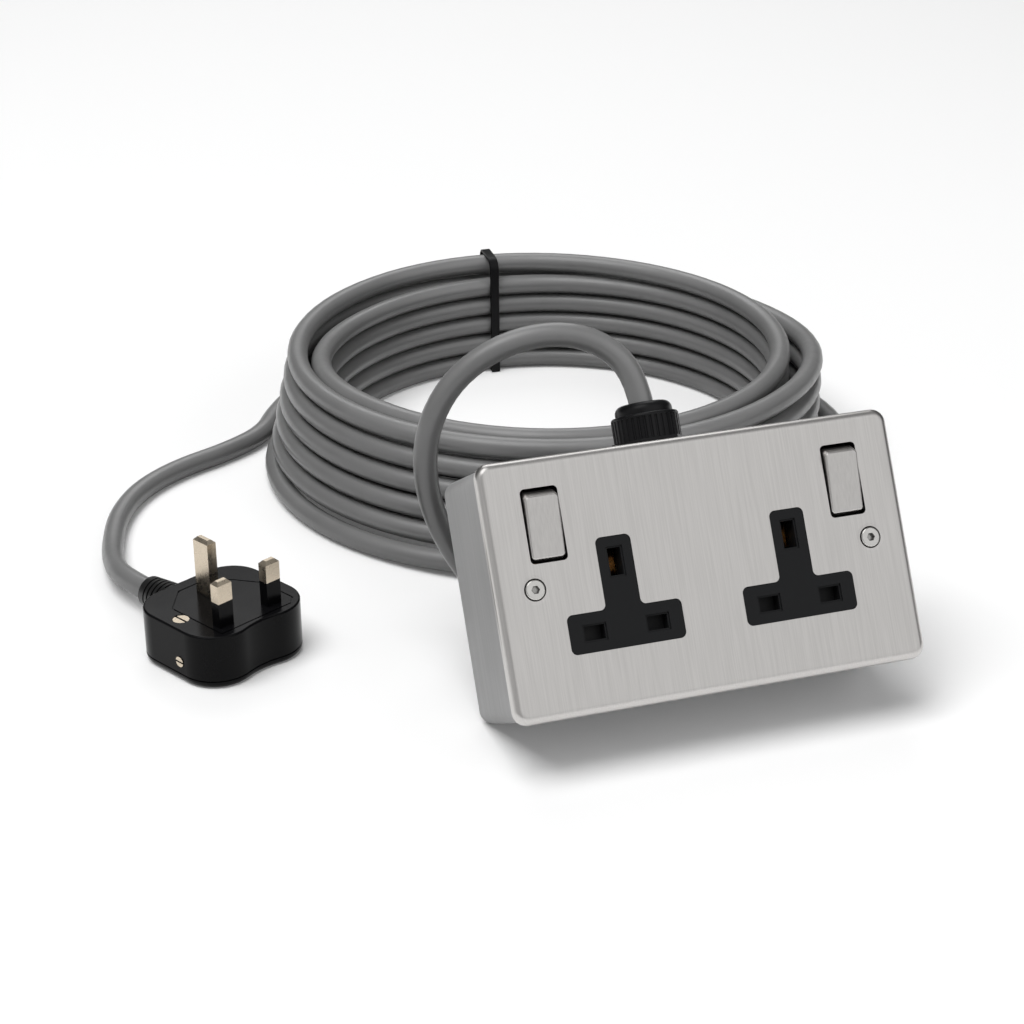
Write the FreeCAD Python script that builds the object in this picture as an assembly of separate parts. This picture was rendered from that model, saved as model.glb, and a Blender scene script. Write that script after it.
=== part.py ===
import FreeCAD, Part
import math
import os

V = FreeCAD.Vector
os.makedirs("parts", exist_ok=True)

# How the box stands: on its rear bottom edge, leaning back on its own cord

TILT = 30.0

# Steel back box and pressed front plate

BOX_W = 146.0
BOX_H = 85.0
BOX_D = 47.0
BOX_WALL = 1.2
BOX_CORNER_R = 5.0
BOX_EDGE_R = 2.0
PLATE_OVERHANG = 1.0
PLATE_D = 4.0
PLATE_T = 1.0
PLATE_RETURN = 2.0
PLATE_EDGE_R = 3.0
LUG_T = 1.5
LUG_H = 12.0
LUG_REACH = 5.3

# Standard outlet layout, from the centre of each outlet

OUTLET_X = 31.2
EARTH_UP = 5.3
PIN_DROP = 22.2
PIN_HALF_PITCH = 11.1
SCREW_EDGE = 12.7
EARTH_SLOT = (4.6, 9.2)
POWER_SLOT = (7.2, 4.8)
SLOT_RIM = 0.6
STEM_W = 12.2
ARM_W = 40.2
ARM_H = 13.1
STEM_TOP = 8.5
INSERT_CORNER_R = 2.0
FIT = 0.1

# Rocker switches

ROCKER_EDGE = 19.2
ROCKER_BELOW_TOP = 21.7
ROCKER_HOLE = (13.0, 25.0)
ROCKER_SIDE_GAP = 0.6
ROCKER_END_GAP = 0.4
ROCKER_HOLE_R = 1.6
ROCKER_PIVOT_DEPTH = 5.0
ROCKER_PROUD = 1.5
ROCKER_SWING = 14.0
CAP_T = 0.7
CAP_SKIRT = 4.6
CAP_EDGE_R = 0.8
CAP_CORNER_R = 1.4
ROCKER_T = 6.4
AXLE_R = 1.5
AXLE_CLEAR = 0.05
PLUNGER_R = 1.4
PLUNGER_GAP = 0.6

# Insulating mouldings

FRONT_MARGIN_X = 6.0
FRONT_MARGIN_Z = 4.0
FRONT_MOULD_T = 7.0
INSERT_RECESS = 0.2
REAR_MARGIN_X = 9.0
REAR_LOW = 6.0
REAR_BELOW_TOP = 13.0
REAR_MOULD_D = 19.0
REAR_WALL = 1.6
REAR_FLOOR = 2.0
BOSS_R = 3.2
BOSS_BELOW_TOP = 16.0
BOSS_UNDER_BAR = 7.2
TOP_BOSS_X = -18.0
MOULD_SCREW_R = 1.35
MOULD_SCREW_HEAD = 2.6

# Shutters behind the live and neutral slots

SHUTTER_W = 31.0
SHUTTER_H = 8.4
SHUTTER_T = 2.2
SHUTTER_TRAVEL = 6.8
SHUTTER_CLEAR = 0.3
SPRING_R = 1.5
SPRING_L = 3.6

# Contacts and terminals

STRIP_T = 0.8
STRIP_W = 4.0
LEAF_GAP = 2.6
LEAF_LEN = 14.5
POST = 7.0
POST_OUT = 8.0
LIVE_POST_X = 20.0
NEUTRAL_BAR_DROP = 6.9
FULCRUM_T = 1.6
NEUTRAL_POST_X = -8.0
EARTH_POST_X = 0.0
LEVER_W = 5.0
LEVER_UP = 4.5
LEVER_DOWN = 13.0
LEVER_GAP = 0.3
SCREW_HEAD_R = 3.4
SCREW_SHANK_R = 1.7
SCREW_LEN = 20.0
SCREW_RISE = 0.8
SCREW_TOP_R = 0.6
SCREW_SOCKET_R = 1.5
SCREW_SOCKET_D = 1.6
SCREW_DISH_R = 4.9
SCREW_DISH_D = 0.3

# Gland in the box's top wall

GLAND_X = -4.0
GLAND_AHEAD = 1.0
GLAND_FLANGE_R = 13.4
GLAND_FLANGE_H = 3.0
GLAND_NUT_R = 11.8
GLAND_NUT_H = 9.0
GLAND_DOME_H = 4.0
GLAND_DOME_R = 10.0
GLAND_DOME_EDGE_R = 2.8
GLAND_THREAD_R = 9.9
GLAND_THREAD_L = 6.0
GLAND_BORE_R = 6.4
GLAND_RIBS = 36
GLAND_RIB_R = 0.5
LOCKNUT_R = 12.8
LOCKNUT_H = 4.0
HOLE_CLEAR = 0.3

# Cord and coil

CORD_D = 8.6
CORD_R = CORD_D / 2
TURN_GAP = 0.45
STEP = CORD_D + TURN_GAP
LEVELS = 6
CORE_R = 1.35
CORE_SPREAD = 2.2
CORE_OVER = 3.2
CORE_LEAN = 2.0
CORE_BELLY = 6.0
CORE_SIDE = 3.5
TAIL_IN_BOX = 7.5
TAIL_IN_NUT = 8.0
LINK_X = 20.0
LINK_BACK = 8.0
LINK_Z = 7.0
INNER_C = (23.4, 211.6)
INNER_R = 96.7
OUTER_C = (25.4, 213.6)
OUTER_R = 108.7
FLARE_R = 0.86
FLARE_SHIFT = (-1.36, -0.5)
STATION = 34.0
COIL_START = 338.0
COIL_END = 120.0
BASE_OUT = 2.5
HUMP_R = 16.0
HUMP_H = 10.5
OUTSIDE_STEP = 10.8
TIE_ANGLE = 87.0
TIE_W = 4.2
TIE_T = 0.9
TIE_EASE = 0.3
TIE_TOP_R = 115.6
TIE_FOOT_R = 128.2
TIE_SNUG = 4.3
TIE_SNUG_STEPS = 4
TIE_HEAD = 8.0

# Cord from the gland round behind the box to the coil, each point in mm

BOX_ROUTE = [
    (-11.0, 41.0, 116.5),
    (-26.5, 46.0, 123.0),
    (-47.5, 49.0, 120.5),
    (-65.5, 51.0, 109.0),
    (-75.0, 53.0, 91.0),
    (-76.0, 55.0, 70.0),
    (-70.5, 56.0, 48.5),
    (-57.0, 56.0, 24.0),
    (-38.0, 53.0, 9.5),
    (-14.0, 48.0, CORD_R),
    (14.0, 46.0, CORD_R),
    (41.0, 49.0, CORD_R),
    (62.0, 60.0, CORD_R),
    (78.0, 79.0, CORD_R),
    (89.5, 102.0, CORD_R),
    (98.5, 126.5, CORD_R),
]

# Cord from the coil to the plug, each point in mm

PLUG_ROUTE = [
    (-82.0, 289.0, CORD_R),
    (-95.0, 267.0, CORD_R),
    (-112.0, 253.0, CORD_R),
    (-134.0, 243.0, CORD_R),
    (-154.0, 223.0, CORD_R),
    (-165.5, 199.0, CORD_R),
    (-172.0, 175.0, CORD_R),
    (-175.0, 153.0, 5.6),
]
FIRST_RUN = 15.0
LAST_RUN = 24.0

# Plug lying on its back, pins up

PLUG_AT = (-147.0, 82.5)
PLUG_HEADING = -62.0
PLUG_FRONT_R = 14.0
PLUG_FRONT_A = 11.0
PLUG_FRONT_B = 11.0
PLUG_BACK_R = 13.0
PLUG_BACK_A = -8.0
PLUG_WAIST_R = 30.0
PLUG_H = 21.0
PLUG_PARTING = 12.6
PLUG_WALL = 2.0
PLUG_FACE_T = 2.5
PLUG_EDGE_R = 2.6
PLUG_LIP_Z = 2.8
FACE_LINE = 0.6
FACE_LINE_DEPTH = 0.4
EARTH_A = -6.0
EARTH_PIN = (8.0, 4.0, 22.7)
POWER_PIN = (4.0, 6.35, 17.7)
PIN_TIP = 1.2
SLEEVE_L = 9.5
SLEEVE_T = 0.5
PLUG_CORD_Z = 9.5
RELIEF_L = 20.0
RELIEF_R = 8.0
RELIEF_TIP_R = 6.0
RELIEF_RIBS = 6
RELIEF_IN = 3.0
FUSE_R = 3.15
FUSE_L = 25.4
FUSE_Z = 9.0
GRIP_A = -15.3
TAIL_PAST_GRIP = 2.8
LEAD_IN = 16.0
COVER_SCREW = (2.0, -19.0)
SIDE_SCREW_A = 7.5
SIDE_SCREW_Z = 8.0

# Places worked out from the sizes above

CO = math.cos(math.radians(TILT))
SI = math.sin(math.radians(TILT))
MID = BOX_H / 2
FACE = -(BOX_D + PLATE_D)
PLATE_BACK = FACE + PLATE_T
MOULD_BACK = PLATE_BACK + FRONT_MOULD_T
FLOOR_IN = MOULD_BACK + REAR_MOULD_D - REAR_FLOOR
REAR_BACK = MOULD_BACK + REAR_MOULD_D
EARTH_Z = MID + EARTH_UP
POWER_Z = EARTH_Z - PIN_DROP
ROCKER_X = BOX_W / 2 - ROCKER_EDGE
ROCKER_Z = BOX_H - ROCKER_BELOW_TOP
SCREW_X = BOX_W / 2 - SCREW_EDGE
PIVOT_Y = FACE + ROCKER_PIVOT_DEPTH
STRIP_Y = FLOOR_IN - STRIP_T
LIVE_Z = ROCKER_Z
NEUTRAL_Z = POWER_Z - NEUTRAL_BAR_DROP
REAR_HIGH = BOX_H - REAR_BELOW_TOP
BOSSES = ((0, NEUTRAL_Z - BOSS_UNDER_BAR), (TOP_BOSS_X, BOX_H - BOSS_BELOW_TOP))
GLAND_Y = REAR_BACK - GLAND_AHEAD
GLAND_TOP = BOX_H + GLAND_FLANGE_H + GLAND_NUT_H + GLAND_DOME_H
TAIL_END = BOX_H - TAIL_IN_BOX
TAIL_TOP = GLAND_TOP - TAIL_IN_NUT
SLAB_CORNER_R = 3.0
POWER_A = EARTH_A + PIN_DROP
PLUG_SIDE = PLUG_FRONT_B + PLUG_FRONT_R
PLUG_BACK = PLUG_BACK_A - PLUG_BACK_R
GRIP_Z = PLUG_CORD_Z + CORD_R + 0.1

REST_Z = BOX_EDGE_R - BOX_EDGE_R * (CO + SI)
FRONT_Y = (FACE + PLATE_EDGE_R) * CO + (PLATE_EDGE_R - PLATE_OVERHANG) * SI - PLATE_EDGE_R
REAR_Y = -BOX_EDGE_R * CO + (BOX_H - BOX_EDGE_R) * SI + BOX_EDGE_R
REST_Y = -(FRONT_Y + REAR_Y) / 2


def block(x0, x1, y0, y1, z0, z1):
    """A box between two corners."""
    return Part.makeBox(x1 - x0, y1 - y0, z1 - z0, V(x0, y0, z0))


def rod(r, start, end):
    """A cylinder between two points."""
    a = V(*start)
    b = V(*end)
    return Part.makeCylinder(r, (b - a).Length, a, b - a)


def ring(r_out, r_in, start, end):
    """A tube of two radii between two points."""
    return rod(r_out, start, end).cut(rod(r_in, start, end))


def cone(r0, r1, start, end):
    """A tapered rod between two points."""
    a = V(*start)
    b = V(*end)
    return Part.makeCone(r0, r1, (b - a).Length, a, b - a)


def along(shape, axis, tol=1e-6):
    """Straight edges of a shape that run along one axis."""
    found = []
    for edge in shape.Edges:
        if edge.Curve.TypeId == "Part::GeomLine":
            run = edge.lastVertex().Point - edge.firstVertex().Point
            if abs(abs(run.dot(axis)) - run.Length) < tol:
                found.append(edge)
    return found


def soft_block(x0, x1, y0, y1, z0, z1, r, axis=V(0, 1, 0)):
    """A box with its four edges along one axis rounded."""
    shape = block(x0, x1, y0, y1, z0, z1)
    return shape.makeFillet(r, along(shape, axis))


def face_edges(shape, y):
    """Edges that lie in one plane across the depth."""
    return [e for e in shape.Edges if all(abs(p.Point.y - y) < 1e-6 for p in e.Vertexes)]


def fused(parts):
    """Several solids joined into one."""
    return parts[0].multiFuse(parts[1:]).removeSplitter()


def lean(shape):
    """Moves a piece of the upright box to its leaning place."""
    moved = shape.copy()
    moved.rotate(V(0, 0, 0), V(1, 0, 0), -TILT)
    moved.translate(V(0, REST_Y, REST_Z))
    return moved


def lean_point(x, y, z):
    """Moves a point of the upright box to its leaning place."""
    return V(x, y * CO + z * SI + REST_Y, z * CO - y * SI + REST_Z)


def lay(shape):
    """Moves a piece of the plug from its own frame to the floor."""
    moved = shape.copy()
    moved.rotate(V(0, 0, 0), V(0, 0, 1), PLUG_HEADING)
    moved.translate(V(PLUG_AT[0], PLUG_AT[1], 0))
    return moved


def lay_point(a, b, z):
    """Moves a point of the plug from its own frame to the floor."""
    h = math.radians(PLUG_HEADING)
    x = PLUG_AT[0] + a * math.cos(h) - b * math.sin(h)
    y = PLUG_AT[1] + a * math.sin(h) + b * math.cos(h)
    return V(x, y, z)


def save(name, shape):
    """Writes one named piece and checks that it is sound."""
    if not shape.isValid():
        print("not valid", name)
    shape.exportStep("parts/" + name + ".step")
    print(name, len(shape.Solids), "solids", round(shape.Volume, 1), "mm3")


def bent_wire(points):
    """Straight runs joined by tangent arcs, with the least radius and the length."""
    pts = [V(p) for p in points]
    edges = []
    here = pts[0]
    least = 1e9
    for before, corner, after in zip(pts, pts[1:], pts[2:]):
        back = (before - corner).normalize()
        ahead = (after - corner).normalize()
        half_turn = (math.pi - back.getAngle(ahead)) / 2
        cut = 0.45 * min((before - corner).Length, (after - corner).Length)
        radius = cut / math.tan(half_turn)
        least = min(least, radius)
        start = corner + back * cut
        end = corner + ahead * cut
        bisector = (back + ahead).normalize()
        to_centre = radius / math.cos(half_turn)
        middle = corner + bisector * (to_centre - radius)
        edges.append(Part.LineSegment(here, start).toShape())
        edges.append(Part.Arc(start, middle, end).toShape())
        here = end
    edges.append(Part.LineSegment(here, pts[-1]).toShape())
    return Part.Wire(edges), least


def tube(name, points, r):
    """A round cord along a route, with its radii and volume printed."""
    path, least = bent_wire(points)
    start = path.Edges[0]
    heading = start.tangentAt(start.FirstParameter)
    section = Part.Wire([Part.Circle(start.valueAt(start.FirstParameter), heading, r).toShape()])
    shape = path.makePipeShell([section], True, False)
    due = math.pi * r * r * path.Length
    print(name, "least radius", round(least, 1), "length", round(path.Length, 1),
          "volume share", round(shape.Volume / due, 4))
    return shape


def make_plate_screw(x):
    """A countersunk screw along the depth with a low round-edged head and a hexagon socket."""
    seat = FACE + SCREW_DISH_D
    top = seat - SCREW_RISE
    cap = rod(SCREW_HEAD_R, (x, top, MID), (x, seat, MID))
    cap = cap.makeFillet(SCREW_TOP_R, face_edges(cap, top))
    taper = cone(SCREW_HEAD_R, SCREW_SHANK_R, (x, seat, MID), (x, seat + SCREW_HEAD_R - SCREW_SHANK_R, MID))
    shank = rod(SCREW_SHANK_R, (x, seat, MID), (x, seat + SCREW_LEN, MID))
    turns = [math.radians(60 * i) for i in range(7)]
    hexagon = Part.makePolygon([V(x + SCREW_SOCKET_R * math.cos(t), top, MID + SCREW_SOCKET_R * math.sin(t))
                                for t in turns])
    return fused([cap, taper, shank]).cut(Part.Face(hexagon).extrude(V(0, SCREW_SOCKET_D, 0)))


def outlet_shape(side, y0, y1, grow):
    """The T of one outlet's insulating face, grown all round by a clearance."""
    cx = side * OUTLET_X
    arm_low = POWER_Z - ARM_H / 2 + 0.2
    stem = block(cx - STEM_W / 2, cx + STEM_W / 2, y0, y1, arm_low, EARTH_Z + STEM_TOP)
    arm = block(cx - ARM_W / 2, cx + ARM_W / 2, y0, y1, arm_low, arm_low + ARM_H)
    shape = stem.fuse(arm).removeSplitter()
    shape = shape.makeFillet(INSERT_CORNER_R, along(shape, V(0, 1, 0)))
    if grow == 0:
        return shape
    wire = [f for f in shape.Faces if f.normalAt(0, 0).y < -0.9][0].OuterWire
    return Part.Face(wire.makeOffset2D(grow)).extrude(V(0, y1 - y0, 0))


def slots(side, y0, y1, grow):
    """The three slots of one outlet."""
    cx = side * OUTLET_X
    ew, eh = EARTH_SLOT
    pw, ph = POWER_SLOT
    found = [block(cx - ew / 2 - grow, cx + ew / 2 + grow, y0, y1,
                   EARTH_Z - eh / 2 - grow, EARTH_Z + eh / 2 + grow)]
    for hand in (-1, 1):
        px = cx + hand * PIN_HALF_PITCH
        found.append(block(px - pw / 2 - grow, px + pw / 2 + grow, y0, y1,
                           POWER_Z - ph / 2 - grow, POWER_Z + ph / 2 + grow))
    return found


def make_back_box():
    """Folded steel box, open at the front, with two tapped lugs."""
    outer = soft_block(-BOX_W / 2, BOX_W / 2, -BOX_D, 0, 0, BOX_H, BOX_CORNER_R)
    outer = outer.makeFillet(BOX_EDGE_R, face_edges(outer, 0))
    w = BOX_WALL
    inner = soft_block(-BOX_W / 2 + w, BOX_W / 2 - w, -BOX_D - 1, -w, w, BOX_H - w, BOX_CORNER_R - w)
    shell = outer.cut(inner)
    lug_y = MOULD_BACK + FIT
    for side in (-1, 1):
        near = side * (SCREW_X - LUG_REACH)
        far = side * (BOX_W / 2 - w / 2)
        lug = block(min(near, far), max(near, far), lug_y, lug_y + LUG_T,
                    MID - LUG_H / 2, MID + LUG_H / 2)
        shell = shell.fuse(lug)
        shell = shell.cut(rod(SCREW_SHANK_R + 0.05, (side * SCREW_X, lug_y - 1, MID),
                              (side * SCREW_X, lug_y + LUG_T + 1, MID)))
    hole = rod(GLAND_THREAD_R + HOLE_CLEAR, (GLAND_X, GLAND_Y, BOX_H - 3), (GLAND_X, GLAND_Y, BOX_H + 1))
    return shell.cut(hole).removeSplitter()


def make_front_plate():
    """Pressed steel plate with a soft edge and a return that sits on the box."""
    w = BOX_W / 2 + PLATE_OVERHANG
    low = -PLATE_OVERHANG
    high = BOX_H + PLATE_OVERHANG
    outer = soft_block(-w, w, FACE, -BOX_D, low, high, BOX_CORNER_R)
    outer = outer.makeFillet(PLATE_EDGE_R, face_edges(outer, FACE))
    t = PLATE_RETURN
    inner = soft_block(-w + t, w - t, PLATE_BACK, -BOX_D + 1, low + t, high - t, BOX_CORNER_R - t)
    plate = outer.cut(inner)
    hw, hh = ROCKER_HOLE
    for side in (-1, 1):
        rx = side * ROCKER_X
        plate = plate.cut(soft_block(rx - hw / 2, rx + hw / 2, FACE - 1, PLATE_BACK + 1,
                                     ROCKER_Z - hh / 2, ROCKER_Z + hh / 2, ROCKER_HOLE_R))
        plate = plate.cut(outlet_shape(side, FACE - 1, PLATE_BACK + 1, FIT))
        sx = side * SCREW_X
        dish_r = (SCREW_DISH_R ** 2 + SCREW_DISH_D ** 2) / (2 * SCREW_DISH_D)
        plate = plate.cut(Part.makeSphere(dish_r, V(sx, FACE + SCREW_DISH_D - dish_r, MID)))
        hole_r = SCREW_HEAD_R + FIT + 0.3
        plate = plate.cut(rod(hole_r, (sx, FACE - 1, MID), (sx, FACE + SCREW_DISH_D, MID)))
        plate = plate.cut(cone(hole_r, hole_r - PLATE_T + SCREW_DISH_D,
                               (sx, FACE + SCREW_DISH_D, MID), (sx, PLATE_BACK, MID)))
    return plate.removeSplitter()


def make_front_moulding():
    """Black insulating plate that carries the outlet faces and has the rocker wells."""
    w = BOX_W / 2 - FRONT_MARGIN_X
    body = soft_block(-w, w, PLATE_BACK, MOULD_BACK, FRONT_MARGIN_Z, BOX_H - FRONT_MARGIN_Z, SLAB_CORNER_R)
    hw, hh = ROCKER_HOLE
    for side in (-1, 1):
        body = body.cut(outlet_shape(side, FACE, MOULD_BACK + 1, 0))
        rx = side * ROCKER_X
        body = body.cut(block(rx - hw / 2, rx + hw / 2, FACE - 1, MOULD_BACK + 1,
                              ROCKER_Z - hh / 2, ROCKER_Z + hh / 2))
        body = body.cut(rod(AXLE_R + AXLE_CLEAR, (rx - hw / 2 - 2.2, PIVOT_Y, ROCKER_Z),
                            (rx + hw / 2 + 2.2, PIVOT_Y, ROCKER_Z)))
        sx = side * SCREW_X
        body = body.cut(rod(SCREW_SHANK_R + 0.3, (sx, FACE, MID), (sx, MOULD_BACK + 1, MID)))
        body = body.cut(cone(SCREW_HEAD_R + FIT + 0.3 - PLATE_T + SCREW_DISH_D, SCREW_SHANK_R + 0.3,
                             (sx, PLATE_BACK, MID), (sx, PLATE_BACK + SCREW_HEAD_R - SCREW_SHANK_R, MID)))
        body = body.cut(shutter_pocket(side * OUTLET_X))
    for x, z in BOSSES:
        body = body.cut(rod(MOULD_SCREW_R + 0.03, (x, MOULD_BACK - 5, z), (x, MOULD_BACK + 1, z)))
    return body.removeSplitter()


def make_outlet_face(side):
    """T shaped outlet face with its three slots, let into the front moulding."""
    body = outlet_shape(side, FACE + INSERT_RECESS, MOULD_BACK, 0)
    for slot in slots(side, FACE - 1, MOULD_BACK + 1, 0):
        body = body.cut(slot)
    for rim in slots(side, FACE - 1, FACE + INSERT_RECESS + SLOT_RIM, SLOT_RIM):
        body = body.cut(rim)
    return body.cut(shutter_pocket(side * OUTLET_X)).removeSplitter()


def shutter_box(cx):
    """The shutter's plate at rest, closing both power slots."""
    y1 = MOULD_BACK - SHUTTER_CLEAR
    return (cx - SHUTTER_W / 2, cx + SHUTTER_W / 2, y1 - SHUTTER_T, y1,
            POWER_Z - SHUTTER_H / 2, POWER_Z + SHUTTER_H / 2)


def shutter_pocket(cx):
    """The room in which a shutter slides, with a well for its spring."""
    x0, x1, y0, y1, z0, z1 = shutter_box(cx)
    c = SHUTTER_CLEAR
    room = block(x0 - c, x1 + c, y0 - c, MOULD_BACK + 1, z0 - c, z1 + SHUTTER_TRAVEL + c)
    well = block(cx - SPRING_R - c, cx + SPRING_R + c, y0 - c, MOULD_BACK + 1,
                 z1, z1 + SHUTTER_TRAVEL + SPRING_L + c)
    return room.fuse(well)


def make_shutter(side):
    """A sliding plate with a sloped front that a pin pushes aside."""
    x0, x1, y0, y1, z0, z1 = shutter_box(side * OUTLET_X)
    body = block(x0, x1, y0, y1, z0, z1)
    edge = [e for e in along(body, V(1, 0, 0)) if abs(e.Vertexes[0].Point.y - y0) < 1e-6
            and abs(e.Vertexes[0].Point.z - z0) < 1e-6]
    return body.makeChamfer(1.2, edge)


def make_shutter_spring(side):
    """A short return spring standing on the shutter, shown pressed together."""
    cx = side * OUTLET_X
    x0, x1, y0, y1, z0, z1 = shutter_box(cx)
    middle = (y0 + y1) / 2
    r = min(SPRING_R, (y1 - y0) / 2)
    return ring(r, r - 0.5, (cx, middle, z1), (cx, middle, z1 + SPRING_L))


def make_rear_moulding():
    """Deep insulating tray that holds the contacts."""
    w = BOX_W / 2 - REAR_MARGIN_X
    t = REAR_WALL
    body = soft_block(-w, w, MOULD_BACK, REAR_BACK, REAR_LOW, REAR_HIGH, SLAB_CORNER_R)
    room = soft_block(-w + t, w - t, MOULD_BACK - 1, FLOOR_IN, REAR_LOW + t, REAR_HIGH - t,
                      SLAB_CORNER_R - t)
    body = body.cut(room)
    for x, z in BOSSES:
        boss = rod(BOSS_R, (x, MOULD_BACK, z), (x, FLOOR_IN + 0.5, z))
        body = body.fuse(boss).cut(rod(MOULD_SCREW_R + 0.1, (x, MOULD_BACK - 1, z), (x, REAR_BACK + 1, z)))
    for x, z in ((LIVE_POST_X, LIVE_Z), (NEUTRAL_POST_X, NEUTRAL_Z), (EARTH_POST_X, EARTH_Z)):
        p = POST / 2 + 0.2
        body = body.cut(block(x - p, x + p, FLOOR_IN - 1, REAR_BACK + 1, z - p, z + p))
    clear = 1.0
    for side in (-1, 1):
        near = side * (SCREW_X - LUG_REACH - clear)
        far = side * (w + 1)
        body = body.cut(block(min(near, far), max(near, far), MOULD_BACK - 1, MOULD_BACK + FIT + LUG_T + clear,
                              MID - LUG_H / 2 - clear, MID + LUG_H / 2 + clear))
        body = body.cut(rod(SCREW_SHANK_R + 0.6, (side * SCREW_X, MOULD_BACK, MID),
                            (side * SCREW_X, REAR_BACK + 1, MID)))
    return body.removeSplitter()


def make_moulding_screws():
    """Two screws that hold the rear tray to the front moulding."""
    found = []
    for x, z in BOSSES:
        head = rod(MOULD_SCREW_HEAD, (x, REAR_BACK, z), (x, REAR_BACK + 1.6, z))
        shank = rod(MOULD_SCREW_R, (x, MOULD_BACK - 4.5, z), (x, REAR_BACK + 0.5, z))
        found.append(head.fuse(shank))
    return Part.makeCompound(found)


def strip(x0, x1, z0, z1):
    """A flat brass strip on the floor of the rear tray."""
    return block(x0, x1, STRIP_Y, FLOOR_IN, z0, z1)


def post(x, z):
    """The brass terminal post that stands out behind the rear tray."""
    p = POST / 2
    body = block(x - p, x + p, STRIP_Y, REAR_BACK + POST_OUT, z - p, z + p)
    return body.cut(rod(1.55, (x, REAR_BACK + POST_OUT - 5, z), (x, REAR_BACK + POST_OUT + 1, z)))


def power_clip(x):
    """Two leaves, above and below a live or neutral pin."""
    half = POWER_PIN[1] / 2
    parts = []
    for hand in (-1, 1):
        a = POWER_Z + hand * LEAF_GAP
        b = a + hand * STRIP_T
        parts.append(block(x - half, x + half, FLOOR_IN - LEAF_LEN, FLOOR_IN, min(a, b), max(a, b)))
    parts.append(strip(x - half, x + half, POWER_Z - LEAF_GAP - STRIP_T, POWER_Z + LEAF_GAP + STRIP_T))
    return fused(parts)


def make_neutral_bar():
    """Brass bar with both neutral clips and its terminal post."""
    parts = [post(NEUTRAL_POST_X, NEUTRAL_Z)]
    low = NEUTRAL_Z - STRIP_W / 2
    xs = []
    for side in (-1, 1):
        x = side * OUTLET_X - PIN_HALF_PITCH
        xs.append(x)
        parts.append(power_clip(x))
        parts.append(strip(x - STRIP_W / 2, x + STRIP_W / 2, low, POWER_Z))
    parts.append(strip(min(xs) - STRIP_W / 2, max(xs) + STRIP_W / 2, low, low + STRIP_W))
    return fused(parts)


def make_earth_bar():
    """Brass bar with both earth clips and its terminal post."""
    parts = [post(EARTH_POST_X, EARTH_Z)]
    half = EARTH_PIN[0] / 2
    for side in (-1, 1):
        for hand in (-1, 1):
            a = side * OUTLET_X + hand * LEAF_GAP
            b = a + hand * STRIP_T
            parts.append(block(min(a, b), max(a, b), FLOOR_IN - LEAF_LEN, FLOOR_IN,
                               EARTH_Z - half, EARTH_Z + half))
    reach = OUTLET_X + LEAF_GAP + STRIP_T
    parts.append(strip(-reach, reach, EARTH_Z - STRIP_W / 2, EARTH_Z + STRIP_W / 2))
    return fused(parts)


def make_live_contact(side):
    """Live clip of one outlet with the strip to the fixed switch contact."""
    x = side * OUTLET_X + PIN_HALF_PITCH
    rx = side * ROCKER_X
    high = POWER_Z + LEAF_GAP + STRIP_T + 1.5
    parts = [power_clip(x)]
    parts.append(strip(x - STRIP_W / 2, x + STRIP_W / 2, POWER_Z, high + STRIP_W))
    parts.append(strip(min(x, rx) - STRIP_W / 2, max(x, rx) + STRIP_W / 2, high, high + STRIP_W))
    tip_z = lever_tip_z()
    parts.append(strip(rx - STRIP_W / 2, rx + STRIP_W / 2, high, tip_z + 2))
    parts.append(rod(1.6, (rx, STRIP_Y - contact_rise(), tip_z), (rx, STRIP_Y, tip_z)))
    return fused(parts)


def lever_back():
    """How far the moving contact's strip stands from the front of the tray floor."""
    return FLOOR_IN - 4.2


def contact_rise():
    """Height of the fixed contact button, which the lever meets with a small gap."""
    return STRIP_Y - lever_back() - LEVER_GAP


def lever_tip_z():
    """Height of the contact point under the lever's lower end."""
    return LIVE_Z - LEVER_DOWN + 2


def make_live_bar():
    """Brass bar that feeds both switches, with a fulcrum for each lever."""
    parts = [post(LIVE_POST_X, LIVE_Z)]
    parts.append(strip(-ROCKER_X - STRIP_W / 2, ROCKER_X + STRIP_W / 2, LIVE_Z - STRIP_W / 2, LIVE_Z + STRIP_W / 2))
    for side in (-1, 1):
        rx = side * ROCKER_X
        parts.append(block(rx - LEVER_W / 2, rx + LEVER_W / 2, lever_back() + LEVER_GAP, FLOOR_IN,
                           LIVE_Z - FULCRUM_T / 2, LIVE_Z + FULCRUM_T / 2))
    return fused(parts)


def make_lever(side):
    """Rocking brass contact of one switch."""
    rx = side * ROCKER_X
    back = lever_back()
    return block(rx - LEVER_W / 2, rx + LEVER_W / 2, back - STRIP_T, back,
                 LIVE_Z - LEVER_DOWN, LIVE_Z + LEVER_UP)


def rocker_block(rx, half, y0, y1, reach):
    """A block whose two ends curve round the rocker's pivot, so that they clear the hole as it turns."""
    shape = block(rx - half, rx + half, y0, y1, ROCKER_Z - reach - 1, ROCKER_Z + reach + 1)
    return shape.common(rod(reach, (rx - half - 1, PIVOT_Y, ROCKER_Z), (rx + half + 1, PIVOT_Y, ROCKER_Z)))


def make_rocker_cap(rx, half, reach, top):
    """Steel cap of a rocker, with its walls round the black body."""
    shape = rocker_block(rx, half, top, top + CAP_SKIRT, reach)
    corners = [e for e in shape.Edges if e.Curve.TypeId == "Part::GeomCircle" and abs(e.Curve.Radius - reach) < 1e-6]
    shape = shape.makeFillet(CAP_CORNER_R, corners)
    shape = shape.makeFillet(CAP_EDGE_R, face_edges(shape, top))
    return shape.cut(rocker_block(rx, half - CAP_T, top + CAP_T, top + CAP_SKIRT + 1, reach - CAP_T))


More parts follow.
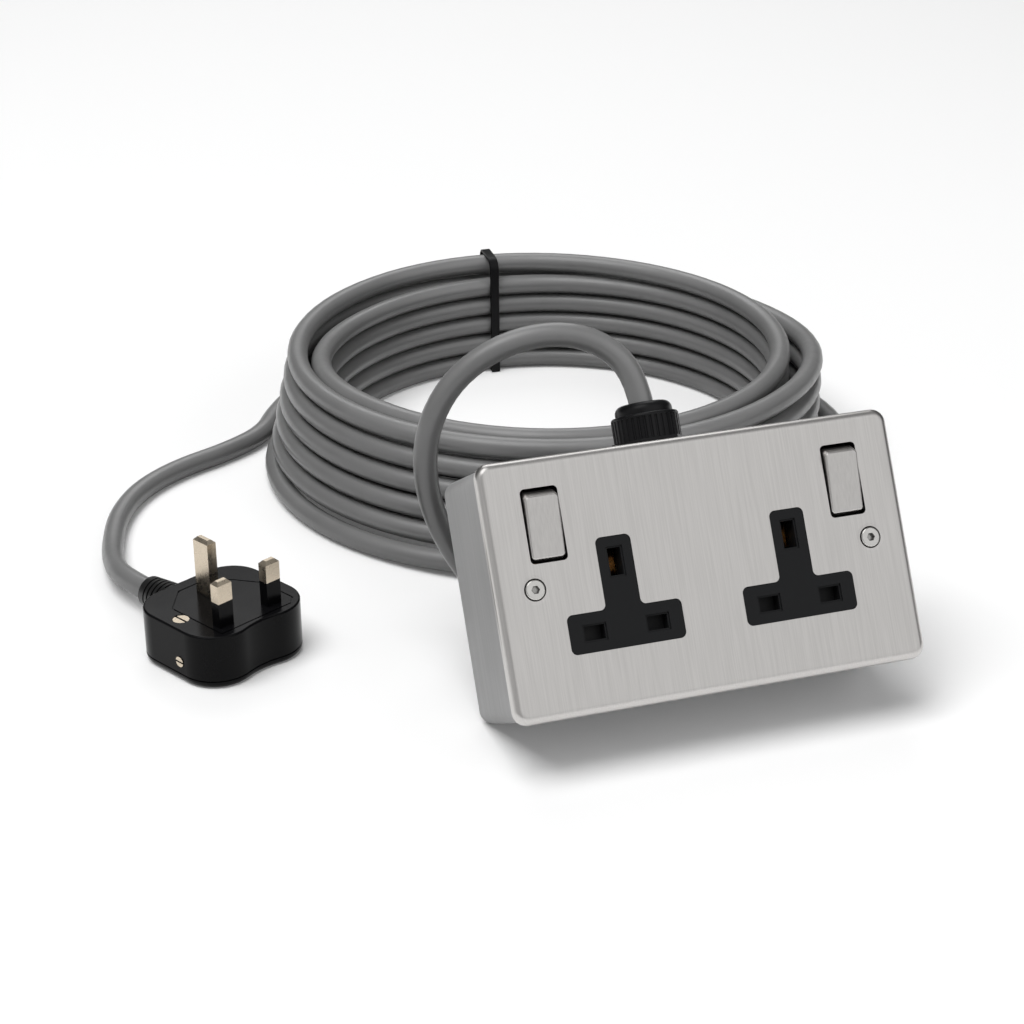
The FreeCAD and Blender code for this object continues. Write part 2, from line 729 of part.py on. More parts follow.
def make_rocker(side, part):
    """Rocker, its steel cap or its plunger, built level and turned to the on position."""
    hw, hh = ROCKER_HOLE
    rx = side * ROCKER_X
    half = hw / 2 - ROCKER_SIDE_GAP
    reach = hh / 2 - ROCKER_END_GAP
    top = FACE - ROCKER_PROUD
    under = top + CAP_T
    if part == "cap":
        shape = make_rocker_cap(rx, half, reach, top)
    elif part == "body":
        shape = rocker_block(rx, half - CAP_T, under, under + ROCKER_T, reach - CAP_T)
        shape = shape.fuse(rod(AXLE_R, (rx - hw / 2 - 2, PIVOT_Y, ROCKER_Z), (rx + hw / 2 + 2, PIVOT_Y, ROCKER_Z)))
        shape = shape.cut(rod(PLUNGER_R + 0.05, (rx, PIVOT_Y + 0.5, ROCKER_Z), (rx, under + ROCKER_T + 1, ROCKER_Z)))
    else:
        tip = lever_back() - STRIP_T - PLUNGER_GAP
        shaft = rod(PLUNGER_R, (rx, PIVOT_Y + 0.5, ROCKER_Z), (rx, tip - PLUNGER_R, ROCKER_Z))
        shape = shaft.fuse(Part.makeSphere(PLUNGER_R, V(rx, tip - PLUNGER_R, ROCKER_Z))).removeSplitter()
    shape = shape.copy()
    shape.rotate(V(rx, PIVOT_Y, ROCKER_Z), V(1, 0, 0), ROCKER_SWING / 2)
    return shape


def make_terminal_screws():
    """One clamping screw in the end of each terminal post."""
    found = []
    y = REAR_BACK + POST_OUT
    for x, z in ((LIVE_POST_X, LIVE_Z), (NEUTRAL_POST_X, NEUTRAL_Z), (EARTH_POST_X, EARTH_Z)):
        head = rod(2.6, (x, y, z), (x, y + 1.6, z))
        head = head.cut(block(x - 3, x + 3, y + 0.8, y + 2, z - 0.4, z + 0.4))
        found.append(head.fuse(rod(1.5, (x, y - 4, z), (x, y + 0.5, z))))
    return Part.makeCompound(found)


def gland_axis(r, z0, z1):
    """A rod on the gland's axis."""
    return rod(r, (GLAND_X, GLAND_Y, z0), (GLAND_X, GLAND_Y, z1))


def hexagon_prism(r, z0, z1):
    """A hexagonal prism on the gland's axis."""
    points = [V(GLAND_X + r * math.cos(math.radians(60 * i)), GLAND_Y + r * math.sin(math.radians(60 * i)), z0)
              for i in range(7)]
    return Part.Face(Part.makePolygon(points)).extrude(V(0, 0, z1 - z0))


def make_gland_body():
    """Threaded body with its hexagon outside the box."""
    z = BOX_H
    top = z + GLAND_FLANGE_H
    body = fused([hexagon_prism(GLAND_FLANGE_R, z, top),
                  gland_axis(GLAND_THREAD_R, z - BOX_WALL - GLAND_THREAD_L, z + 1),
                  gland_axis(GLAND_THREAD_R - 1, top - 1, top + GLAND_NUT_H - 1)])
    return body.cut(gland_axis(GLAND_BORE_R, 0, top + GLAND_NUT_H + 5))


def make_gland_nut():
    """Ribbed domed nut that squeezes the seal on the cord."""
    low = BOX_H + GLAND_FLANGE_H
    high = low + GLAND_NUT_H
    skirt = gland_axis(GLAND_NUT_R, low, high)
    skirt = skirt.makeFillet(1.0, [e for e in skirt.Edges if all(abs(v.Point.z - high) < 1e-6 for v in e.Vertexes)])
    for i in range(GLAND_RIBS):
        a = math.radians(360 / GLAND_RIBS * i)
        x = GLAND_X + GLAND_NUT_R * math.cos(a)
        y = GLAND_Y + GLAND_NUT_R * math.sin(a)
        skirt = skirt.cut(rod(GLAND_RIB_R, (x, y, low - 1), (x, y, high - 1.2)))
    dome = gland_axis(GLAND_DOME_R, high - 1, GLAND_TOP)
    top_edge = [e for e in dome.Edges if all(abs(v.Point.z - GLAND_TOP) < 1e-6 for v in e.Vertexes)]
    dome = dome.makeFillet(GLAND_DOME_EDGE_R, top_edge)
    nut = fused([skirt, dome])
    nut = nut.cut(gland_axis(GLAND_THREAD_R - 1 + 0.05, low - 1, high - 0.7))
    return nut.cut(gland_axis(CORD_R + 0.25, low, GLAND_TOP + 1))


def make_gland_seal():
    """Rubber ring round the cord inside the gland."""
    low = BOX_H + GLAND_FLANGE_H
    return gland_axis(GLAND_BORE_R, low - 3, low + GLAND_NUT_H - 1).cut(
        gland_axis(CORD_R, low - 4, low + GLAND_NUT_H))


def make_locknut():
    """Flat nut on the gland's thread inside the box."""
    high = BOX_H - BOX_WALL
    return hexagon_prism(LOCKNUT_R, high - LOCKNUT_H, high).cut(
        gland_axis(GLAND_THREAD_R, high - LOCKNUT_H - 1, high + 1))


def core_start(angle):
    """Where one core leaves the cut end of the cord inside the box."""
    a = math.radians(angle)
    return V(GLAND_X + CORE_SPREAD * math.cos(a), GLAND_Y + CORE_SPREAD * math.sin(a), TAIL_END)


def mix(a, b, share):
    """A value part of the way from one to another."""
    return a + (b - a) * share


def make_cores():
    """Live, neutral and earth cores inside the box, and the box's own earth link."""
    y = REAR_BACK + POST_OUT / 2
    half = POST / 2
    over = REAR_HIGH + CORE_OVER
    behind = y + CORE_BELLY
    side = NEUTRAL_POST_X - CORE_SIDE
    live = core_start(-30)
    neutral = core_start(210)
    earth = core_start(90)
    routes = {
        "core_live": [live, V(live.x + CORE_LEAN, live.y + CORE_LEAN, over),
                      V(mix(live.x, LIVE_POST_X, 0.3), y + CORE_LEAN, mix(over, EARTH_Z, 0.25)),
                      V(mix(live.x, LIVE_POST_X, 0.5), behind, mix(over, EARTH_Z, 0.65)),
                      V(mix(live.x, LIVE_POST_X, 0.75), behind, EARTH_Z),
                      V(LIVE_POST_X, y, EARTH_Z), V(LIVE_POST_X, y, LIVE_Z - half)],
        "core_neutral": [neutral, V(neutral.x - CORE_LEAN, neutral.y + CORE_LEAN, over),
                         V(side, y + CORE_LEAN, mix(over, EARTH_Z, 0.25)), V(side, behind, EARTH_Z),
                         V(NEUTRAL_POST_X, y, mix(EARTH_Z, NEUTRAL_Z, 0.5)),
                         V(NEUTRAL_POST_X, y, NEUTRAL_Z + half)],
        "core_earth": [earth, V(mix(earth.x, EARTH_POST_X, 0.1), y, REAR_HIGH),
                       V(EARTH_POST_X, y, mix(REAR_HIGH, EARTH_Z, 0.5)), V(EARTH_POST_X, y, EARTH_Z + half)],
        "earth_link": [V(EARTH_POST_X, y, EARTH_Z - half), V(EARTH_POST_X, y, mix(EARTH_Z, LINK_Z, 0.3)),
                       V(mix(EARTH_POST_X, LINK_X, 0.45), y + LINK_BACK / 2, mix(EARTH_Z, LINK_Z, 0.6)),
                       V(mix(EARTH_POST_X, LINK_X, 0.9), y + LINK_BACK, mix(EARTH_Z, LINK_Z, 0.8)),
                       V(LINK_X, y + LINK_BACK, LINK_Z)],
    }
    return {name: tube(name, points, CORE_R) for name, points in routes.items()}


def make_box_earth_screw():
    """Earth screw in the floor of the box."""
    y = REAR_BACK + POST_OUT / 2 + LINK_BACK
    shank = rod(1.8, (LINK_X, y, BOX_WALL), (LINK_X, y, LINK_Z - 1.5))
    return shank.fuse(rod(3.6, (LINK_X, y, LINK_Z - 2), (LINK_X, y, LINK_Z))).removeSplitter()


def ring_point(centre, r, angle, z):
    """A point of the coil and its level heading."""
    a = math.radians(angle)
    return (V(centre[0] + r * math.cos(a), centre[1] + r * math.sin(a), z),
            V(-math.sin(a), math.cos(a), 0))


def outer_ring(level):
    """Centre and radius of one turn of the outer column, wider towards the floor."""
    depth = LEVELS - 1 - level
    centre = (OUTER_C[0] + FLARE_SHIFT[0] * depth, OUTER_C[1] + FLARE_SHIFT[1] * depth)
    return centre, OUTER_R + FLARE_R * depth


def coil_stations():
    """Points and headings a quarter turn apart: up inside, over, down outside."""
    top = LEVELS - 1
    loose = top * STEP / (top - 1)
    found = [ring_point(INNER_C, INNER_R, COIL_START, CORD_R)]
    for turn in range(LEVELS):
        level = CORD_R + turn * STEP
        if turn > 0:
            found.append(ring_point(INNER_C, INNER_R, STATION + 270, level))
        found.append(ring_point(INNER_C, INNER_R, STATION, level))
        if turn < top:
            found.append(ring_point(INNER_C, INNER_R, STATION + 90, level))
            found.append(ring_point(INNER_C, INNER_R, STATION + 180, CORD_R + turn * loose))
    for level in range(top, -1, -1):
        centre, r = outer_ring(level)
        z = CORD_R + level * STEP
        if level < top:
            found.append(ring_point(centre, r, STATION, z))
        found.append(ring_point(centre, r, STATION + 90, z))
        out = BASE_OUT if level == 0 else 0
        found.append(ring_point(centre, r + out, STATION + 180, z))
        if level > 0:
            found.append(ring_point(centre, r, STATION + 270, z))
    centre, r = outer_ring(0)
    found.append(ring_point(centre, r + HUMP_R, STATION + 270, CORD_R + HUMP_H))
    found.append(ring_point(centre, r + OUTSIDE_STEP, STATION, CORD_R))
    found.append(ring_point(centre, r + OUTSIDE_STEP, COIL_END, CORD_R))
    return found


def arc_from(p0, t0, p1):
    """The arc that leaves a point along a heading and reaches another point."""
    chord = p1 - p0
    lift = chord - t0 * chord.dot(t0)
    if lift.Length < 1e-7:
        return Part.LineSegment(p0, p1).toShape()
    normal = V(lift).normalize()
    r = chord.Length ** 2 / (2 * chord.dot(normal))
    centre = p0 + normal * r
    middle = (p0 + p1) / 2 - centre
    return Part.Arc(p0, centre + middle.normalize() * r, p1).toShape()


def biarc(p0, t0, p1, t1):
    """Two arcs joined smoothly, from one point and heading to another."""
    v = p1 - p0
    t = t0 + t1
    a = 2 * (1 - t0.dot(t1))
    b = 2 * v.dot(t)
    d = (-b + math.sqrt(b * b + 4 * a * v.dot(v))) / (2 * a)
    joint = (p0 + t0 * d + p1 - t1 * d) / 2
    first = arc_from(p0, t0, joint)
    second = arc_from(p1, t1 * -1, joint)
    return first, second


def coil_path():
    """The whole coil as one line: straight ends and two arcs for each quarter turn."""
    stations = coil_stations()
    first, heading = stations[0]
    edges = [Part.LineSegment(first - heading * CORD_D, first).toShape()]
    for (p0, t0), (p1, t1) in zip(stations, stations[1:]):
        edges.extend(biarc(p0, t0, p1, t1))
    last, heading = stations[-1]
    edges.append(Part.LineSegment(last, last + heading * CORD_D).toShape())
    return edges


def least_gap(edges):
    """The least clear distance of the coil to itself, measured on points."""
    points = []
    run = 0.0
    for edge in edges:
        count = max(2, int(edge.Length / 4))
        line = edge.discretize(count + 1)
        if (line[0] - points[-1][0]).Length > 1e-3 if points else False:
            line.reverse()
        for p in line[1 if points else 0:]:
            if points:
                run += (p - points[-1][0]).Length
            points.append((p, run))
    least = 1e9
    at = None
    for i, (p, s) in enumerate(points):
        for q, u in points[i + 8:]:
            if u - s > 4 * CORD_D:
                gap = (q - p).Length
                if gap < least:
                    least = gap
                    at = (p, q)
    return least - CORD_D, run, at


def make_coil():
    """Two nested columns of turns, one unbroken tube."""
    edges = coil_path()
    gap, length, at = least_gap(edges)
    print("coil least gap", round(gap, 2), "length", round(length, 1), "at", at)
    path = Part.Wire(edges)
    first = edges[0]
    section = Part.Wire([Part.Circle(first.valueAt(first.FirstParameter),
                                     first.tangentAt(first.FirstParameter), CORD_R).toShape()])
    shape = path.makePipeShell([section], True, False)
    print("coil volume share", round(shape.Volume / (math.pi * CORD_R ** 2 * length), 4))
    return shape


def make_tie():
    """Cable tie pulled round the coil at the far side, with its head outside."""
    top = CORD_R + (LEVELS - 1) * STEP + CORD_R + TIE_EASE
    near = INNER_R - CORD_R - TIE_EASE
    turns = [math.pi / 2 * i / TIE_SNUG_STEPS for i in range(TIE_SNUG_STEPS + 1)]
    high = top - TIE_SNUG
    rim = [(near, TIE_T)]
    rim += [(near + TIE_SNUG * (1 - math.cos(t)), high + TIE_SNUG * math.sin(t)) for t in turns]
    rim += [(TIE_TOP_R - TIE_SNUG * (1 - math.sin(t)), high + TIE_SNUG * math.cos(t)) for t in turns]
    rim += [(TIE_FOOT_R, CORD_R), (TIE_FOOT_R, TIE_T), (near, TIE_T)]
    inner = Part.makePolygon([V(r, -TIE_W / 2, z) for r, z in rim])
    outer = inner.makeOffset2D(TIE_T)
    band = Part.Face(outer).cut(Part.Face(inner)).extrude(V(0, TIE_W, 0))
    head = block(-TIE_HEAD / 2, TIE_HEAD / 2, -TIE_HEAD / 2, TIE_HEAD / 2, 0, 4.5)
    lean_out = math.degrees(math.atan2(top - 2 * CORD_R, TIE_FOOT_R - TIE_TOP_R))
    head.rotate(V(0, 0, 0), V(0, 1, 0), lean_out)
    head.translate(V((TIE_TOP_R + TIE_FOOT_R) / 2 + TIE_T / 2, 0, top / 2))
    tie = fused([band, head])
    tie.rotate(V(0, 0, 0), V(0, 0, 1), TIE_ANGLE)
    tie.translate(V(INNER_C[0], INNER_C[1], 0))
    return tie


def make_box_cord():
    """Cord from the gland's mouth behind the box to the start of the coil."""
    start = lean_point(GLAND_X, GLAND_Y, TAIL_TOP)
    rise = V(0, SI, CO)
    end, heading = coil_stations()[0]
    end = end - heading * CORD_D
    points = [start, start + rise * FIRST_RUN] + [V(*p) for p in BOX_ROUTE]
    points += [end - heading * LAST_RUN, end]
    return tube("cord_from_box", points, CORD_R)


def make_plug_cord():
    """Cord from the coil's end to the mouth of the plug's relief."""
    last, heading = coil_stations()[-1]
    start = last + heading * CORD_D
    mouth = PLUG_BACK + RELIEF_IN - RELIEF_L - RELIEF_IN
    end = lay_point(mouth, 0, PLUG_CORD_Z)
    out = lay_point(mouth - LEAD_IN, 0, PLUG_CORD_Z)
    points = [start, start + heading * LAST_RUN * 0.8] + [V(*p) for p in PLUG_ROUTE] + [out, end]
    return tube("cord_to_plug", points, CORD_R)


def plug_outline(z0, z1, shrink):
    """The plug's plan: four round corners, straight sides and a shallow waist in front."""
    front = PLUG_FRONT_R - shrink
    back = PLUG_BACK_R - shrink
    back_b = PLUG_SIDE - PLUG_BACK_R
    reach = PLUG_FRONT_R + PLUG_WAIST_R
    waist_a = PLUG_FRONT_A + math.sqrt(reach ** 2 - PLUG_FRONT_B ** 2)
    turn = math.asin(PLUG_FRONT_B / reach)
    half = (math.pi / 2 - turn) / 2
    diagonal = math.sqrt(0.5)

    def at(a, b, side):
        return V(a, b * side, z0)

    joins = {side: at(PLUG_FRONT_A + front * math.cos(turn), PLUG_FRONT_B - front * math.sin(turn), side)
             for side in (-1, 1)}
    edges = [Part.Arc(joins[-1], V(waist_a - PLUG_WAIST_R - shrink, 0, z0), joins[1])]
    for side in (1, -1):
        front_side = at(PLUG_FRONT_A, PLUG_FRONT_B + front, side)
        back_side = at(PLUG_BACK_A, back_b + back, side)
        back_end = at(PLUG_BACK_A - back, back_b, side)
        edges.append(Part.Arc(joins[side], at(PLUG_FRONT_A + front * math.cos(half),
                                              PLUG_FRONT_B + front * math.sin(half), side), front_side))
        edges.append(Part.LineSegment(front_side, back_side))
        edges.append(Part.Arc(back_side, at(PLUG_BACK_A - back * diagonal, back_b + back * diagonal, side), back_end))
    edges.append(Part.LineSegment(at(PLUG_BACK_A - back, back_b, 1), at(PLUG_BACK_A - back, back_b, -1)))
    wire = Part.Wire(Part.__sortEdges__([e.toShape() for e in edges]))
    return Part.Face(wire).extrude(V(0, 0, z1 - z0))


def plug_rim(shape, z):
    """Edges of the plug's outline at one height."""
    return [e for e in shape.Edges if all(abs(v.Point.z - z) < 1e-6 for v in e.Vertexes)]


def relief_hole():
    """Opening in the plug's end for the cord's relief."""
    a = PLUG_BACK
    return rod(RELIEF_R + 0.1, (a - 4, 0, PLUG_CORD_Z), (a + PLUG_WALL + 2.5, 0, PLUG_CORD_Z))


def cover_screw_rod(r, z0, z1):
    """A rod on the cover screw's axis."""
    a, b = COVER_SCREW
    return rod(r, (a, b, z0), (a, b, z1))


def make_plug_cover():
    """Back shell of the plug, lying on the floor."""
    outer = plug_outline(0, PLUG_PARTING, 0)
    outer = outer.makeFillet(PLUG_EDGE_R, plug_rim(outer, 0))
    outer = outer.cut(plug_outline(PLUG_LIP_Z, PLUG_LIP_Z + 0.5, -1).cut(
        plug_outline(PLUG_LIP_Z - 1, PLUG_LIP_Z + 2, 0.4)))
    shell = outer.cut(plug_outline(PLUG_WALL, PLUG_PARTING + 1, PLUG_WALL))
    boss = cover_screw_rod(3.0, PLUG_WALL - 0.5, PLUG_PARTING)
    shell = shell.fuse(boss)
    shell = shell.cut(cover_screw_rod(1.5, 6, PLUG_PARTING + 1))
    rest_z = FUSE_Z - FUSE_R - STRIP_T
    for a, b in fuse_rests():
        shell = shell.fuse(block(a - 1.8, a + 1.8, b - 3, b + 3, PLUG_WALL - 0.5, rest_z))
    for a, b, w in grip_posts():
        shell = shell.fuse(block(a - w, a + w, b - w, b + w, PLUG_WALL - 0.5, GRIP_Z))
        shell = shell.cut(rod(1.1, (a, b, 6), (a, b, GRIP_Z + 1)))
    shell = shell.cut(rod(2.05, (SIDE_SCREW_A, -PLUG_SIDE - 1, SIDE_SCREW_Z),
                          (SIDE_SCREW_A, -PLUG_SIDE + PLUG_WALL + 1, SIDE_SCREW_Z)))
    return shell.cut(relief_hole()).removeSplitter()


def grip_posts():
    """Where the two screws of the cord grip stand."""
    return [(GRIP_A, -9.0, 2.2), (GRIP_A, 9.0, 2.2)]


def fuse_start():
    """Where the fuse begins, next to the live pin."""
    return POWER_A - POWER_PIN[0] / 2 - 1.4


def fuse_rests():
    """Where the two fuse clips stand."""
    a = fuse_start()
    return [(a - 3.2, -PIN_HALF_PITCH), (a - FUSE_L + 3.2, -PIN_HALF_PITCH)]


def face_line():
    """A fine angular line sunk in the pin face round the pins."""
    corners = [(EARTH_A - 9, -6), (EARTH_A - 9, 6), (EARTH_A - 2, 13), (EARTH_A + 8, 19), (POWER_A + 2, 19),
               (POWER_A + 5, 16), (POWER_A + 5, -16), (EARTH_A, -16)]
    closed = corners + corners[:1]
    inner = Part.makePolygon([V(a, b, PLUG_H - FACE_LINE_DEPTH) for a, b in closed])
    outer = inner.makeOffset2D(FACE_LINE)
    return Part.Face(outer).cut(Part.Face(inner)).extrude(V(0, 0, FACE_LINE_DEPTH + 1))


def make_plug_base():
    """Pin side of the plug, face up."""
    outer = plug_outline(PLUG_PARTING, PLUG_H, 0)
    outer = outer.makeFillet(0.8, plug_rim(outer, PLUG_H))
    shell = outer.cut(plug_outline(PLUG_PARTING - 1, PLUG_H - PLUG_FACE_T, PLUG_WALL))
    a, b, _ = EARTH_PIN
    shell = shell.cut(block(EARTH_A - a / 2, EARTH_A + a / 2, -b / 2, b / 2, 0, PLUG_H + 1))
    a, b, _ = POWER_PIN
    for hand in (-1, 1):
        pb = hand * PIN_HALF_PITCH
        shell = shell.cut(block(POWER_A - a / 2, POWER_A + a / 2, pb - b / 2, pb + b / 2, 0, PLUG_H + 1))
    shell = shell.cut(face_line())
    hole = cover_screw_rod(1.8, 0, PLUG_H + 1)
    sink = cover_screw_rod(3.2, PLUG_H - 1.6, PLUG_H + 1)
    return shell.cut(hole).cut(sink).cut(relief_hole()).removeSplitter()


def pin(a, b, size, foot):
    """A square pin with a chamfered tip, from its foot inside the plug."""
    da, db, length = size
    top = PLUG_H + length
    body = block(a - da / 2, a + da / 2, b - db / 2, b + db / 2, foot, top)
    tip = [e for e in body.Edges if all(abs(v.Point.z - top) < 1e-6 for v in e.Vertexes)]
    return body.makeChamfer(PIN_TIP, tip)


def make_earth_pin():
    """Earth pin with its terminal block."""
    body = pin(EARTH_A, 0, EARTH_PIN, 12)
    return body.fuse(block(EARTH_A - 4, EARTH_A + 4, -4, 4, 12, PLUG_H - PLUG_FACE_T)).removeSplitter()


def sleeve_room(hand):
    """The thin jacket round the root of a power pin."""
    da, db, _ = POWER_PIN
    pb = hand * PIN_HALF_PITCH
    z0 = PLUG_H
    z1 = PLUG_H + SLEEVE_L
    outer = block(POWER_A - da / 2, POWER_A + da / 2, pb - db / 2, pb + db / 2, z0, z1)
    t = SLEEVE_T
    inner = block(POWER_A - da / 2 + t, POWER_A + da / 2 - t, pb - db / 2 + t, pb + db / 2 - t, z0 - 1, z1 + 1)
    return outer.cut(inner)


def make_power_pin(hand):
    """Live or neutral pin with its foot."""
    pb = hand * PIN_HALF_PITCH
    foot = PLUG_WALL + 1 if hand < 0 else 12
    body = pin(POWER_A, pb, POWER_PIN, foot).cut(sleeve_room(hand))
    if hand > 0:
        body = body.fuse(block(POWER_A - 4, POWER_A + 4, pb - 4, pb + 4, 12, PLUG_H - PLUG_FACE_T))
    else:
        body = body.fuse(block(POWER_A - 2, POWER_A + 2, pb - 4, pb + 4, 15, PLUG_H - PLUG_FACE_T))
    return body.removeSplitter()


def make_fuse():
    """Cartridge fuse: a ceramic barrel between two metal caps."""
    a = fuse_start()
    b = -PIN_HALF_PITCH
    caps = [rod(FUSE_R, (a - 6, b, FUSE_Z), (a, b, FUSE_Z)),
            rod(FUSE_R, (a - FUSE_L, b, FUSE_Z), (a - FUSE_L + 6, b, FUSE_Z))]
    barrel = rod(FUSE_R - 0.3, (a - FUSE_L + 6, b, FUSE_Z), (a - 6, b, FUSE_Z))
    return fused(caps + [barrel])


def make_fuse_clips():
    """Two sprung brass clips under the fuse's caps."""
    found = []
    for a, b in fuse_rests():
        r = FUSE_R + STRIP_T
        clip = ring(r, FUSE_R, (a - 1.6, b, FUSE_Z), (a + 1.6, b, FUSE_Z))
        clip = clip.cut(block(a - 3, a + 3, b - r - 1, b + r + 1, FUSE_Z + 1.8, FUSE_Z + r + 1))
        found.append(clip)
    return Part.makeCompound(found)


def make_cord_grip():
    """Bar that clamps the cord inside the plug."""
    bar = soft_block(GRIP_A - 2.6, GRIP_A + 2.6, -12, 12, GRIP_Z, GRIP_Z + 3, 1.0, V(0, 0, 1))
    for a, b, _ in grip_posts():
        bar = bar.cut(rod(1.3, (a, b, GRIP_Z - 1), (a, b, GRIP_Z + 4)))
    return bar


def make_grip_screws():
    """Two screws that draw the grip down on the cord."""
    found = []
    for a, b, _ in grip_posts():
        head = rod(2.1, (a, b, GRIP_Z + 3), (a, b, GRIP_Z + 4.4))
        found.append(head.fuse(rod(1.1, (a, b, 7), (a, b, GRIP_Z + 3.5))).removeSplitter())
    return Part.makeCompound(found)


def make_cover_screw():
    """Brass screw that holds the two halves of the plug together."""
    a, b = COVER_SCREW
    head = cover_screw_rod(3.0, PLUG_H - 1.6, PLUG_H - 0.2)
    head = head.cut(block(a - 4, a + 4, b - 0.4, b + 0.4, PLUG_H - 0.9, PLUG_H + 1))
    return head.fuse(cover_screw_rod(1.5, 6, PLUG_H - 1.2)).removeSplitter()


def make_side_screw():
    """Brass screw in the plug's side wall."""
    b = -PLUG_SIDE
    z = SIDE_SCREW_Z
    shaft = rod(2.0, (SIDE_SCREW_A, b - 0.3, z), (SIDE_SCREW_A, b + PLUG_WALL + 0.8, z))
    return shaft.cut(block(SIDE_SCREW_A - 3, SIDE_SCREW_A + 3, b - 1, b + 0.4, z - 0.35, z + 0.35))


def make_relief():
    """Ribbed taper that guards the cord where it enters the plug."""
    a0 = PLUG_BACK + RELIEF_IN
    a1 = a0 - RELIEF_IN - RELIEF_L
    z = PLUG_CORD_Z
    body = fused([rod(RELIEF_R, (a0, 0, z), (a0 - RELIEF_IN - 1, 0, z)),
                  cone(RELIEF_R, RELIEF_TIP_R, (a0 - RELIEF_IN - 1, 0, z), (a1, 0, z))])
    pitch = (RELIEF_L - 6) / RELIEF_RIBS
    for i in range(RELIEF_RIBS):
        a = a1 + 3 + pitch * i
        body = body.cut(ring(RELIEF_R + 1, CORD_R + 1.1, (a, 0, z), (a + pitch * 0.35, 0, z)))
    return body.cut(rod(CORD_R, (a1 - 1, 0, z), (a0 + 1, 0, z)))


def plug_tail_end():
    """Where the cord's jacket ends inside the plug."""
    return GRIP_A + TAIL_PAST_GRIP


def make_plug_tail():
    """Cord inside the relief and under the grip."""
    mouth = PLUG_BACK - RELIEF_L
    return rod(CORD_R, (mouth, 0, PLUG_CORD_Z), (plug_tail_end(), 0, PLUG_CORD_Z))


def make_plug_cores():
    """Three short cores from the cord to the plug's terminals."""
    a = plug_tail_end()
    z = PLUG_CORD_Z
    ends = fuse_rests()[1]
    routes = [
        [V(a, 0, z + 2.2), V(a + 1.6, 0, z + 2.6), V(EARTH_A - 4, 0, z + 3.5)],
        [V(a, 2, z - 1.2), V(a + 7, 5.5, z - 1.5), V(POWER_A - 10, 8.5, z + 1),
         V(POWER_A - 4, PIN_HALF_PITCH, z + 3.5)],
        [V(a, -2, z - 1.2), V(a + 1.6, -3.4, z - 1.6), V(ends[0], ends[1] + FUSE_R + STRIP_T, FUSE_Z)],
    ]
    return Part.makeCompound([tube("plug core", points, CORE_R * 0.9) for points in routes])


def build_box_parts():
    """Box, plate, mouldings and everything inside them."""
    save("back_box", lean(make_back_box()))
    save("front_plate", lean(make_front_plate()))
    save("plate_screws", lean(Part.makeCompound([make_plate_screw(-SCREW_X), make_plate_screw(SCREW_X)])))
    save("front_moulding", lean(make_front_moulding()))
    save("rear_moulding", lean(make_rear_moulding()))
    save("moulding_screws", lean(make_moulding_screws()))
    save("neutral_bar", lean(make_neutral_bar()))
    save("earth_bar", lean(make_earth_bar()))
    save("live_bar", lean(make_live_bar()))
    save("terminal_screws", lean(make_terminal_screws()))
    save("box_earth_screw", lean(make_box_earth_screw()))
    for name, shape in make_cores().items():
        save(name, lean(shape))
    for hand, side in (("left", -1), ("right", 1)):
        save("outlet_face_" + hand, lean(make_outlet_face(side)))
        save("live_contact_" + hand, lean(make_live_contact(side)))
        save("rocker_" + hand, lean(make_rocker(side, "body")))
        save("rocker_cap_" + hand, lean(make_rocker(side, "cap")))
        save("rocker_plunger_" + hand, lean(make_rocker(side, "plunger")))
        save("switch_lever_" + hand, lean(make_lever(side)))
        save("shutter_" + hand, lean(make_shutter(side)))
        save("shutter_spring_" + hand, lean(make_shutter_spring(side)))


def build_gland_parts():
    """Gland and the end of the cord that it holds."""
    save("gland_body", lean(make_gland_body()))
    save("gland_nut", lean(make_gland_nut()))
    save("gland_seal", lean(make_gland_seal()))
    save("gland_locknut", lean(make_locknut()))
    save("cord_tail", lean(gland_axis(CORD_R, TAIL_END, TAIL_TOP)))


def build_cord_parts():
    """Free cord, its coil and the tie round it."""
    save("cord_from_box", make_box_cord())
    save("cord_coil", make_coil())
    save("cord_to_plug", make_plug_cord())
    save("cable_tie", make_tie())


def build_plug_parts():
    """Plug and everything inside it."""
    save("plug_cover", lay(make_plug_cover()))
    save("plug_base", lay(make_plug_base()))
    save("plug_earth_pin", lay(make_earth_pin()))
    save("plug_live_pin", lay(make_power_pin(-1)))
    save("plug_neutral_pin", lay(make_power_pin(1)))
    save("pin_sleeves", lay(Part.makeCompound([sleeve_room(-1), sleeve_room(1)])))
    save("plug_fuse", lay(make_fuse()))
    save("fuse_clips", lay(make_fuse_clips()))
    save("cord_grip", lay(make_cord_grip()))
    save("grip_screws", lay(make_grip_screws()))
    save("cover_screw", lay(make_cover_screw()))
    save("side_screw", lay(make_side_screw()))
    save("plug_relief", lay(make_relief()))
    save("plug_tail", lay(make_plug_tail()))
    save("plug_cores", lay(make_plug_cores()))


build_box_parts()
build_gland_parts()
build_cord_parts()
build_plug_parts()
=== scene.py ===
import logging
import math
from collections.abc import Sequence
from dataclasses import dataclass, field
from enum import Enum
from functools import cached_property
from typing import NamedTuple

import bpy
from mathutils import Matrix, Vector


